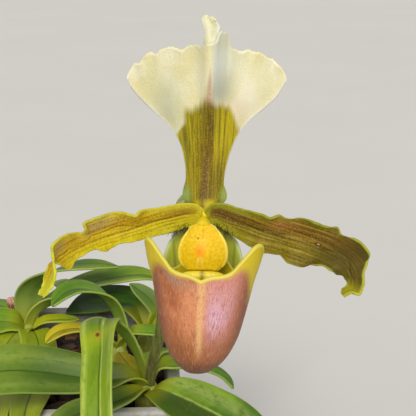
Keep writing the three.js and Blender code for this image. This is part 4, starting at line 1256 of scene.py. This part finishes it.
# ---------------------------------------------------------------- stalks
SCAPE_ROUTE = [
    (38.4, -25.6, 90.5), (39.8, -29.5, 102), (42.6, -36.5, 114), (46, -53, 139), (49.8, -75, 160),
    (53.1, -93.9, 172.1),
]
STUB_ROUTE = [(-15.6, 26, 88), (-17.8, 27.6, 95), (-20, 28.8, 103.5)]
OVARY_ROUTE = [
    (53.3, -94.5, 172.5), (55.4, -105, 179.5),
    *from_flower(np.array([(0, 13, -1.2), (0, 6, -0.2), (0, 1.7, 0)])),
]
ovary_width = profile([(0, 1.7), (0.2, 1.9), (0.6, 2.5), (0.85, 2.7), (0.95, 2.9), (1, 2.2)])
growth_base_width = profile([(0, 3.4), (0.06, 4.5), (0.55, CROWN_RADIUS), (0.8, 3.6), (0.95, 2.2), (1, 0.8)])


def scape_radius(u, angle):
    return 1.78 - 0.25 * u + 0.05 * np.sin(3 * angle + 9 * u)


def ovary_radius(u, angle):
    """Three-ribbed."""
    return ovary_width(u) * (1 + 0.07 * np.cos(3 * angle))


def stub_radius(u, angle):
    """Shrunken, and more torn towards its end."""
    return (1.7 - 0.3 * u) * (1 + 0.16 * np.sin(5 * angle + 6 * u) * u + 0.08 * np.sin(11 * angle))


def growth_base_radius(u, angle):
    return growth_base_width(u) * (1 + 0.05 * np.sin(2 * angle) + 0.03 * np.sin(9 * angle))


def bract_surface(ovary):
    """The bract, which wraps the ovary's foot and opens towards its own tip."""

    def place(u, v):
        at, side, up = ovary.frame(0.04 + 0.56 * u)
        wrap = np.radians(150 * (1 - 0.75 * u**2)) * v
        radius = (2.4 + 0.8 * smoothstep(0, 0.2, u) + 1.2 * u + 0.15 * np.sin(9 * u + 3 * v))[..., None]
        return at + side * radius * np.sin(wrap)[..., None] - up * radius * np.cos(wrap)[..., None]

    return place


# ---------------------------------------------------------------- hairs
def spikes(root, aim, length, thickness):
    """Three-sided spikes from their roots along their aims."""
    side = unit(np.cross(aim, (0.3, 0.5, 0.81)))
    up = np.cross(aim, side)
    corners = [root + thickness * (math.cos(a) * side + math.sin(a) * up) for a in TRIANGLE]
    at = np.stack([*corners, root + aim * length[:, None]], 1).reshape(-1, 3)
    first = 4 * np.arange(len(root))[:, None]
    faces = [first + np.array([face]) for face in ((0, 1, 3), (1, 2, 3), (2, 0, 3), (0, 2, 1))]
    return Shape(at, faces).outward()


def hairs(spine, radius, count, length, seed):
    """Fine hairs all over a stalk, with their roots in it."""
    random = np.random.default_rng(seed)
    u = random.uniform(0.03, 0.985, count)
    angle = random.uniform(0, 2 * math.pi, count)
    at, side, up = spine.frame(u)
    out = np.cos(angle)[:, None] * side + np.sin(angle)[:, None] * up
    root = at + out * (radius(u, angle) - HAIR_ROOT)[:, None]
    aim = unit(out + random.normal(0, 0.25, (count, 3)))
    return spikes(root, aim, length * random.uniform(0.6, 1.2, count), FINE_HAIR)


def petal_hairs(name):
    """Dark hairs along the lower edge of a petal's foot."""
    random = np.random.default_rng(PETAL_HAIR_SEEDS[name])
    outward = np.sign(PETALS[name]["upper"][-1][0])
    u = random.uniform(0.06, 0.18, PETAL_HAIR_COUNT)
    v = -1 + 0.5 * random.uniform(0, 1, PETAL_HAIR_COUNT) ** 2
    root = petal_surface(name)(u, v) + np.array([0, -0.2, 0])
    aim = unit(np.array([outward * 0.2, -0.45, -0.6]) + random.normal(0, 0.35, (PETAL_HAIR_COUNT, 3)))
    return spikes(root, aim, random.uniform(1.1, 2.3, PETAL_HAIR_COUNT), COARSE_HAIR)


# ---------------------------------------------------------------- flower
DORSAL = {"foot": 2.6, "shoulder": 29.5, "crest": 7.9, "lobe": 2.3, "lobe_at": 0.228, "lobe_width": 0.072}
DORSAL_ROOT = -0.08  # how far its foot reaches down behind the petals, as a share of its height
SEPAL_CREASE = {"at": 0.07, "depth": 4.4, "left": 0.12, "right": 0.2}
# How far it reaches to the left and to the right at each height up to its shoulder.
dorsal_left = profile([
    (0.4, 1.2), (1.4, 3.2), (2.4, 5), (4, 5.3), (7, 4.7), (11.5, 5.3), (15, 6.4), (18.5, 8.6),
    (21.4, 11.8), (24.7, 15.3), (27.3, 17.5), (29.5, 18.4),
])
dorsal_right = profile([
    (0.4, 1.2), (1.4, 2.8), (2.4, 4.4), (3.8, 4.6), (6, 3.8), (10.3, 4.4), (14.9, 5.8), (17.6, 7.2),
    (20.5, 9.8), (23.2, 13), (25.9, 15.8), (29.5, 17.9),
])
# Notches in the margin: the place across the sepal, the width and the depth of each.
NOTCHES = [
    (-0.95, 0.025, 0.5), (-0.83, 0.04, 1.2), (-0.61, 0.045, 0.9), (-0.3, 0.07, 1), (-0.04, 0.04, 0.5),
    (0.42, 0.09, 0.9), (0.6, 0.04, 0.35), (0.76, 0.035, 0.5), (0.88, 0.03, 0.5),
]


def creased(v):
    """How much of the crease beside the upper sepal's middle there is at v."""
    at = SEPAL_CREASE["at"]
    return bell(v, at, np.where(v > at, SEPAL_CREASE["right"], SEPAL_CREASE["left"]))


def dorsal_surface(u, s):
    """The hooded upper sepal: a narrow neck, a creased fan, and a notched and crimped margin."""
    u = lerp(DORSAL_ROOT, 1, u)
    v = s * (0.5 + 0.5 * s * s)
    side = np.abs(v)
    margin = np.sqrt(np.maximum(1 - side**2.6, 0))
    edge = lerp(DORSAL["foot"], DORSAL["shoulder"], u)
    fan = u**3
    rise = smoothstep(0.8, 1, u)
    lobe = np.exp(-(((v - DORSAL["lobe_at"]) / DORSAL["lobe_width"]) ** 6)) * DORSAL["lobe"]
    lobe = lobe + 0.6 * smoothstep(0, 0.16, v) * smoothstep(0.31, 0.24, v)
    dips = sum(depth * bell(v, place, width) for place, width, depth in NOTCHES)
    teeth = 0.12 * np.sin(83 * v + 2 * np.sin(31 * v))
    z = edge + DORSAL["crest"] * fan * margin + rise * lobe - u**16 * (dips + teeth)
    x = np.where(v < 0, dorsal_left(edge), dorsal_right(edge)) * v
    fold = smoothstep(0.3, 1, u) * creased(v)
    swept = (3 + 4.5 * u) * side**1.7
    lean = 1.6 + 3.2 * np.sin(math.pi * u * 0.8) - 5 * fan
    ruffle = u**36 * side * (0.25 * np.sin(26 * v) + 0.15 * np.sin(47 * v + 0.5))
    y = lean + swept - SEPAL_CREASE["depth"] * fold + ruffle - 0.5 * rise * lobe / DORSAL["lobe"]
    return points(x, y, z)


TIP = {"foot": 34, "bend": 37.6, "top": 43.7, "behind": 0.9}
tip_centre = profile([(34, 1.35), (38, 1.35), (40, 1.6), (41.3, 1.5), (42.7, 0.95), (43.7, 0.85)])
tip_half_width = profile([(34, 1), (37, 1.45), (40, 1.5), (41.3, 1.9), (42.7, 1.85), (43.7, 1.3)])


def tip_surface(u, v):
    """The point of the upper sepal, which stands up from behind its crease: a gutter with a crimped end."""
    z = lerp(TIP["foot"], TIP["top"], u)
    x = tip_centre(z) + tip_half_width(z) * v
    fold = lerp(creased(x / dorsal_right(DORSAL["shoulder"])), 0.7, smoothstep(0.4, 1, u))
    gutter = 0.7 * bell(v, 0.15, 0.4) - 0.45 * smoothstep(0.45, 1, v) + 0.15 * np.sin(7 * v + 1) * u**4
    back = TIP["behind"] + 0.6 * np.maximum(TIP["bend"] - z, 0)
    y = -1.5 - SEPAL_CREASE["depth"] * fold + back + gutter * smoothstep(0.3, 0.6, u)
    crimp = u**6 * (0.9 * smoothstep(0.1, 1, v) + 0.5 * v**4 + 0.3 * bell(v, 0.05, 0.2))
    return points(x, y, z - crimp)


synsepal_half_width = profile([
    (0, 3.4), (0.05, 6), (0.12, 8.4), (0.3, 9.8), (0.5, 9.4), (0.7, 7.6), (0.88, 4.4), (1, 1.2),
])
synsepal_depth = profile([(0, 3.6), (0.2, 4.6), (0.45, 6.6), (0.75, 7), (1, 4.6)])


def synsepal_surface(u, v):
    """The two lower sepals, grown together: one cupped and keeled blade behind the lip."""
    cupped = 3.2 * np.sin(math.pi * np.clip(u * 1.1, 0, 1)) * v * v
    ripple = 0.35 * np.sin(u * 17) * np.abs(v) ** 3
    keel = 0.5 * bell(v, 0, 0.12)
    half = synsepal_half_width(u) * np.where(v > 0, 0.91, 1)
    return points(half * v, synsepal_depth(u) - cupped + ripple + keel, -3.6 - 31 * u)


# Each petal: its upper and lower edge in the flower's frame, where between them, from -1 to 1, its midrib
# runs on the way to its tip, and how high its margin ripples and from which phase.
PETALS = {
    "petal_left": {
        "upper": [
            (0.1, 0.9, 0.4), (-0.9, 0.8, 1.3), (-2.1, 0.6, 2), (-5.1, 0.3, 2.1), (-10, -0.3, 1.2),
            (-13.9, -1.3, 0.7), (-15.1, -1.7, -0.3), (-16.5, -2.1, -0.1), (-19.1, -3, 0.5),
            (-22, -4.2, -0.1), (-23.8, -4.9, -0.6), (-25.9, -6.2, -1.5), (-25.7, -6, -2.7),
            (-26.5, -6.4, -3.8), (-28, -7.3, -3.8), (-29.5, -8.9, -3.8), (-31.2, -10.8, -4.9),
            (-32, -11.6, -6.2), (-31.9, -11.9, -8.7), (-31.4, -12, -11.1), (-31.4, -12, -13.2),
            (-32.4, -11.6, -15.6), (-34, -11.2, -17.7),
        ],
        "lower": [
            (0.3, 0.9, -2.2), (-5.1, 0.3, -3.9), (-7.7, 0.2, -4.7), (-11.1, -0.6, -5.5),
            (-13.2, -1.2, -6.1), (-16.1, -2, -6.5), (-18.8, -2.9, -6.8), (-20.5, -3.5, -7.9),
            (-21.8, -4.1, -8.6), (-23.7, -4.9, -8), (-25.8, -6.1, -8.6), (-27.8, -7.3, -10.1),
            (-28.6, -7.8, -11.6), (-29.4, -8.1, -12), (-30.5, -8.4, -11.4), (-31.9, -8.8, -10.3),
            (-33.3, -9.6, -10.7), (-34.2, -10.4, -12.8), (-34.6, -10.9, -15), (-35.6, -11.3, -17.1),
        ],
        "midrib": [(0, 0.45), (0.1, 0.35), (0.25, 0), (0.5, -0.2), (0.75, -0.25), (0.85, 0), (1, 0)],
        "ripple": 0.9,
        "phase": 0.4,
    },
    "petal_right": {
        "upper": [
            (-0.1, 0.8, 0.4), (0.9, 0.7, 1.4), (2, 0.6, 2.1), (4.4, 0.4, 2.3), (8.2, 0.2, 1.2),
            (12.8, -0.8, 0.4), (14.8, -1.2, -0.4), (16.8, -1.7, 0.2), (18.8, -2.1, -0.6),
            (21.3, -2.7, -0.1), (24.1, -3.6, -0.5), (27.4, -4.7, -1.7), (29.5, -5.8, -1.6),
            (30.5, -6.2, -3.3), (32.5, -7.4, -3.4), (34.4, -8.3, -4.3), (36.3, -9, -6.6),
            (36.1, -9.1, -8.6), (35.4, -9.2, -10.9), (35.2, -9.8, -13.8), (34.6, -10.2, -15.6),
            (32.8, -9.6, -15.5), (31.2, -8.8, -16.6),
        ],
        "lower": [
            (-0.3, 0.8, -2), (2.8, 0.5, -3), (7.4, 0.2, -5.8), (10.6, -0.3, -7.4), (13.5, -0.9, -8.6),
            (17, -1.7, -9), (18.7, -2, -10.2), (21.5, -2.7, -11.1), (26, -4.1, -10.5), (28.2, -5, -11.3),
            (29.4, -5.5, -12), (30.9, -6.1, -12.3), (31.7, -6.8, -13.8), (30.9, -7.2, -15),
            (30.4, -7.6, -15.9),
        ],
        "midrib": [(0, 0.3), (0.1, 0.1), (0.3, 0), (0.6, -0.05), (0.8, 0), (1, 0)],
        "ripple": 1,
        "phase": 2.2,
    },
}
# The midrib is read at so many places, smoothed by a curve of that degree, and measured along in steps.
RIB_SAMPLES = 60
RIB_DEGREE = 4
RIB_STEPS = 300


def petal_edges(name):
    """The lower and the upper edge of a petal."""
    return [Route(PETALS[name][edge]) for edge in ("lower", "upper")]


def petal_surface(name):
    """A petal between its edges: channelled, with a keel inside and a rippled and crimped margin."""
    petal = PETALS[name]
    lower, upper = petal_edges(name)

    def place(u, v):
        at = lerp(lower.at(u), upper.at(u), ((v + 1) / 2)[..., None])
        body = smoothstep(0.1, 0.35, u) * (1 - smoothstep(0.78, 0.9, u))
        wave = np.sin(29 * u + petal["phase"] + 1.3 * np.sign(v)) + 0.35 * np.sin(71 * u + 2 * v)
        ripple = petal["ripple"] * v**2 * wave
        channel = 0.9 * v**2 * np.sin(math.pi * np.minimum(u, 0.9))
        keel = 0.25 * bell(v, 0.06, 0.07)
        crimp = np.abs(v) ** 5 * smoothstep(0.06, 0.15, u) * (1 - smoothstep(0.97, 1, u))
        end = smoothstep(0.75, 0.88, u)
        at[..., 1] += body * (ripple - channel) + keel * smoothstep(0.02, 0.1, u)
        at[..., 1] += 0.45 * crimp * end * np.sin(88 * u + 3 * v)
        at[..., 2] += crimp * lerp(0.04, 0.12, end) * np.sin(113 * u + 2 * v + 2 * np.sin(37 * u))
        return at

    return place


def with_veins(shape, name):
    """A petal with one more value: how far a point lies along its midrib and to the side of it."""
    lower, upper = petal_edges(name)
    u = np.linspace(0, 1, RIB_SAMPLES)
    share = (profile(PETALS[name]["midrib"])(u)[:, None] + 1) / 2
    rib = lerp(lower.at(u), upper.at(u), share)[:, [0, 2]]
    steps = np.linspace(0, 1, RIB_STEPS)
    smooth = np.stack([np.polyval(np.polyfit(u, part, RIB_DEGREE), steps) for part in rib.T], -1)
    along = np.concatenate([[0], np.cumsum(np.linalg.norm(np.diff(smooth, axis=0), axis=1))])
    gap = shape.at[:, None, [0, 2]] - smooth[None]
    nearest = np.argmin(np.linalg.norm(gap, axis=-1), axis=1)
    gap = gap[np.arange(len(nearest)), nearest]
    ahead = unit(np.gradient(smooth, axis=0))[nearest]
    side = np.sign(smooth[-1, 0]) * (ahead[:, 0] * gap[:, 1] - ahead[:, 1] * gap[:, 0])
    shape.values["vein"] = points(along[nearest], side, 0)
    return shape


LIP_TOE = -33
LIP_DEPTH = 30  # from its rim down to its toe, for its colours
LIP_STEP = 0.004  # the step that its normals are measured over
# Its rounded rim: how many rings it has, how many of them are inner face, and how much thicker than the wall
# it is.
LIP_BEAD = {"rings": 7, "inside": 2, "fullness": 1.24}
lip_half_width = profile([
    (0, 0), (0.25, 1.9), (0.9, 3.2), (2.3, 4.9), (4.4, 6.5), (8, 8.2), (12, 9.3), (16, 10.2), (20, 11.1),
    (24, 12.3), (27, 12.9), (30, 13.1),
])
lip_half_depth = profile([
    (0, 0), (0.3, 1.8), (0.9, 2.9), (2.3, 4.4), (4.4, 5.9), (8, 7.1), (12, 8), (16, 8.6), (20, 9),
    (26, 9.2), (33, 9),
])
lip_centre = profile([(0, -13.5), (10, -12), (20, -10.2), (33, -8.9)])
lip_lean = profile([(0, -0.4), (3, 0), (12, 0.35), (24, 0.75), (33, 0.75)])
lip_rim = profile([
    (0, -11.9), (5, -11.4), (12, -10.9), (24, -10.6), (33, -9.9), (40, -8.3), (50, -6.3), (60, -4.9),
    (72, -4.6), (84, -5.6), (100, -8.6), (120, -11.8), (140, -12.8), (156, -10.6), (168, -6),
    (180, -2.7),
])


def lip_point(angle, share):
    """A point of the slipper's outer face: angle 0 is its front, and share runs from the toe to the rim."""
    rim = lip_rim(np.abs(np.degrees(angle))) - 0.5 * np.sin(angle)
    rise = (rim - LIP_TOE) * share**1.7
    seam = 0.16 * bell(np.degrees(angle), 0, 3.5) * smoothstep(0.3, 0.7, share)
    x = lip_lean(rise) + lip_half_width(rise) * np.sin(angle)
    y = lip_centre(rise) - lip_half_depth(rise) * np.cos(angle) + seam
    return points(x, y, LIP_TOE + rise)


def lip_shape():
    """The slipper: its outer face, a rounded rim and its inner face, closed at the toe.

    Its values are lip, which is the angle, how far below the rim a point lies and its height, and inner,
    which is 1 on the inner face.
    """
    rings, sides = MESH["lip"]
    shares = np.concatenate([np.linspace(0, 1, rings)[1:-1], [0.994, 1]])
    angles = (2 * np.arange(sides) / sides - 1) * math.pi
    share, angle = np.meshgrid(shares, angles, indexing="ij")
    outer = lip_point(angle, share)
    up = lip_point(angle, np.minimum(share + LIP_STEP, 1)) - lip_point(angle, share - LIP_STEP)
    around = lip_point(angle + LIP_STEP, share) - lip_point(angle - LIP_STEP, share)
    inward = unit(np.cross(up, around))
    inner = outer + inward * LIP_THICKNESS
    turn = np.radians(np.linspace(0, 180, LIP_BEAD["rings"]))[:, None, None]
    offset = unit(up[-1]) * np.sin(turn) - inward[-1] * np.cos(turn)
    bead = (outer[-1] + inner[-1]) / 2 + offset * LIP_THICKNESS / 2 * LIP_BEAD["fullness"]
    rows = np.concatenate([outer[:-1], bead, inner[-2::-1]])
    reach = np.linalg.norm(outer[-1] - outer, axis=-1)
    below = np.vstack([reach[:-1], np.zeros((LIP_BEAD["rings"], sides)), reach[-2::-1]])
    inside = np.zeros(below.shape)
    inside[-len(reach) + 1 - LIP_BEAD["inside"] :] = 1
    toe = lip_point(np.zeros(1), np.zeros(1))
    at = np.vstack([rows.reshape(-1, 3), toe, toe + np.array([0, 0, LIP_THICKNESS])])
    degrees = np.degrees(angles)
    lip = np.vstack([points(degrees, below, rows[..., 2]).reshape(-1, 3), [[0, LIP_DEPTH, LIP_TOE]] * 2])
    inner = np.vstack([points(inside, 0, 0).reshape(-1, 3), [[0, 0, 0], [1, 0, 0]]])
    index = np.arange(below.size).reshape(below.shape)
    return Shape(at, [grid_faces(index, wrap=True), *fans(index)], lip=lip, inner=inner).outward()


staminode_half_width = profile([
    (0, 1.5), (0.06, 2.3), (0.18, 3.6), (0.34, 4.7), (0.48, 5.25), (0.63, 5.45), (0.78, 5.3),
    (0.89, 4.7), (0.95, 4), (1, 3.1),
])
STAMINODE = {"top": -1.2, "height": 9.8, "front": -9.5, "thickness": 1.2, "centre": 0.45}


def staminode_surface(u, v):
    """The shield over the column: a boss in its middle, a raised margin and two ridges below the boss."""
    boss = 0.6 * bell(v, 0, 0.4) * bell(u, 0.6, 0.3) + 0.06 * bell(v, -0.09, 0.13) * bell(u, 0.57, 0.1)
    groove = 0.25 * bell(v, 0, 0.06) * smoothstep(0.4, 0.15, u)
    ridges = 0.08 * (bell(v, -0.14, 0.04) + bell(v, 0.1, 0.04)) * bell(u, 0.83, 0.08)
    lip = 0.2 * smoothstep(0.82, 0.97, np.abs(v)) + 0.15 * smoothstep(0.93, 0.99, u)
    curl = 0.9 * np.abs(v) ** 3
    y = STAMINODE["front"] - 0.8 * u - boss - ridges - lip + groove + curl
    x = staminode_half_width(u) * v + STAMINODE["centre"]
    return points(x, y, STAMINODE["top"] - STAMINODE["height"] * u)


# The column's mound, and the balls grown together with it: the radius and the centre of each, and how the
# two broad ones are flattened.
COLUMN_ROUTE = [(0, 1.4, -1), (0, -0.6, -1.3), (0, -3, -2.3), (0, -5.6, -3.5), (0, -7.8, -4.8)]
STIGMA = (5.3, (0.4, -7.5, -7.4), (1, 0.16, 1.1))
STIGMA_BAR = (4.9, (0.45, -10, -12.35), (1, 0.25, 0.27))
STIGMA_NECK = (2.2, (0, -5.6, -5.8))
ANTHERS = [(1.2, (x, -4.6, -3.2)) for x in (-2.1, 2.1)]
KNOBS = [(0.5, (0, -0.2, -0.6)), (0.4, (-0.2, 0.1, -0.1)), (0.35, (0.3, -1.9, -0.7))]
COLUMN_VOXEL = 0.16
column_radius = profile([(0, 0.6), (0.22, 0.8), (0.45, 1.7), (0.75, 2.2), (1, 1.6)])


def ridged(u, angle):
    """The column's radius, with a ridge along its top."""
    return column_radius(u) * (1 + 0.22 * bell(angle, 1.5 * math.pi, 0.5) * smoothstep(0.15, 0.4, u))


def column_shape():
    """The column: a mound with a knobbly ridge, two anthers and the broad stigma below, grown together."""
    mound = tube(Spine(COLUMN_ROUTE, RIGHT), *MESH["column"], ridged)
    balls = [ball(*part) for part in (STIGMA, STIGMA_BAR, STIGMA_NECK, *ANTHERS)]
    knobs = [ball(*part, rings=9, sides=12) for part in KNOBS]
    return reworked(
        joined([mound, *balls, *knobs]),
        ("REMESH", {"mode": "VOXEL", "voxel_size": COLUMN_VOXEL}),
        ("SMOOTH", {"factor": 0.5, "iterations": 4}),
    )


# ---------------------------------------------------------------- the stage
def camera():
    """The photograph's camera, level from side to side and looking down by its pitch."""
    data = bpy.data.cameras.new("camera")
    data.lens = CAMERA_LENS
    data.sensor_width = CAMERA_SENSOR
    data.clip_start = 0.01
    data.clip_end = 60
    eye = added("camera", data)
    eye.location = CAMERA_AT
    eye.rotation_euler = (math.radians(90 - CAMERA_PITCH), 0, 0)
    bpy.context.scene.camera = eye


def softbox(name, turn, rise, spread, strength, colour):
    """A wide soft lamp far away, turned to the right of the front and raised, all in degrees."""
    data = bpy.data.lights.new(name, "SUN")
    data.angle = math.radians(spread)
    data.energy = strength
    data.color = colour
    added(name, data).rotation_euler = (math.radians(90 - rise), 0, math.radians(turn))


def studio():
    """A pale floor, a pale surround and two wide soft lamps."""
    corners = np.array([(-1, -1, 0), (1, -1, 0), (1, 1, 0), (-1, 1, 0)])
    floor = added("floor", mesh_of("floor", Shape(corners, [np.array([[0, 1, 2, 3]])]), FLOOR_REACH))
    floor.data.materials.append(floor_paint())
    world = bpy.data.worlds.new("surround")
    world.use_nodes = True
    surround = world.node_tree.nodes["Background"].inputs
    surround["Color"].default_value = (*rgb(SURROUND["colour"]), 1)
    surround["Strength"].default_value = SURROUND["strength"]
    bpy.context.scene.world = world
    softbox("key", turn=-10, rise=38, spread=30, strength=2.6, colour=(1, 0.97, 0.93))
    softbox("fill", turn=52, rise=20, spread=45, strength=0.75, colour=(0.93, 0.95, 1))


# ---------------------------------------------------------------- the object
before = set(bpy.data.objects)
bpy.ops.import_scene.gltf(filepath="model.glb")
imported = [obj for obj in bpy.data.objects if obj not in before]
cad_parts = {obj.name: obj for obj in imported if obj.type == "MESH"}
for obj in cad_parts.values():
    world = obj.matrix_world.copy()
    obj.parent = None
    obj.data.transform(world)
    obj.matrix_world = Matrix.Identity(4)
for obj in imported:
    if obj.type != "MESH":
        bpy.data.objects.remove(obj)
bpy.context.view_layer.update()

camera()
studio()

pot, plugs = pot_shape()
pot = drilled(pot, plugs)
pot.at = turned(pot.at, POT_TURN)
pot_piece = finer("pot", pot, clay_paint())
pot_piece.data.set_sharp_from_angle(angle=SHARP_ANGLE)
finer("potting_bark", bark_shape(), bark_paint(), smooth=False)

leaf_paints = {key: leaf_paint(key, *tints, **marks) for key, (*tints, marks) in LEAF_FINISHES.items()}
for name, (_, _, finish, _) in LEAVES.items():
    finer(name, leaf_shape(name), leaf_paints[finish])

stalk = stalk_paint()
scape, ovary, stub = (Spine(route, RIGHT) for route in (SCAPE_ROUTE, OVARY_ROUTE, STUB_ROUTE))
for name, spine, radius, coat, tint in (
    ("scape", scape, scape_radius, SCAPE_HAIRS, "9a9272"),
    ("ovary", ovary, ovary_radius, OVARY_HAIRS, "7a6a5a"),
):
    finer(name, tube(spine, *MESH[name], radius), stalk)
    make(f"{name}_hairs", hairs(spine, radius, **coat), hair_paint(f"{name}_hair_paint", tint))
finer("floral_bract", sheet(bract_surface(ovary), *MESH["bract"], BRACT_THICKNESS), bract_paint())
finer("old_scape_stub", tube(stub, *MESH["stub"], stub_radius), dry_paint())

growth_base = base_paint()
for name, (x, y) in CROWNS.items():
    core = Spine([(x, y, CROWN_Z + z) for z in (-CROWN_DEPTH, -6, 1)], RIGHT)
    shape = tube(core, *MESH["growth_base"], growth_base_radius)
    finer(f"{name}_growth_base", shape, growth_base)

dorsal = joined([
    sheet(dorsal_surface, *MESH["dorsal"], SEPAL_THICKNESS, edge=0.02),
    sheet(tip_surface, *MESH["tip"], SEPAL_THICKNESS, edge=0.06),
])
synsepal = sheet(synsepal_surface, *MESH["synsepal"], SEPAL_THICKNESS)
finer("dorsal_sepal", local(dorsal), dorsal_paint())
finer("synsepal", local(synsepal), synsepal_paint())
for name in PETALS:
    petal = with_veins(sheet(petal_surface(name), *MESH["petal"], PETAL_THICKNESS), name)
    finer(name, local(petal), petal_paint(name))
dark_hair = hair_paint("petal_hair_paint", "3a1c14")
for name in PETALS:
    make(f"{name}_hairs", local(petal_hairs(name)), dark_hair)
staminode = sheet(staminode_surface, *MESH["staminode"], STAMINODE["thickness"], edge=0.06)
finer("lip_pouch", local(lip_shape()), lip_paint())
finer("column", local(column_shape()), column_paint())
finer("staminode", local(staminode), staminode_paint())

bpy.context.scene.view_settings.view_transform = "Standard"
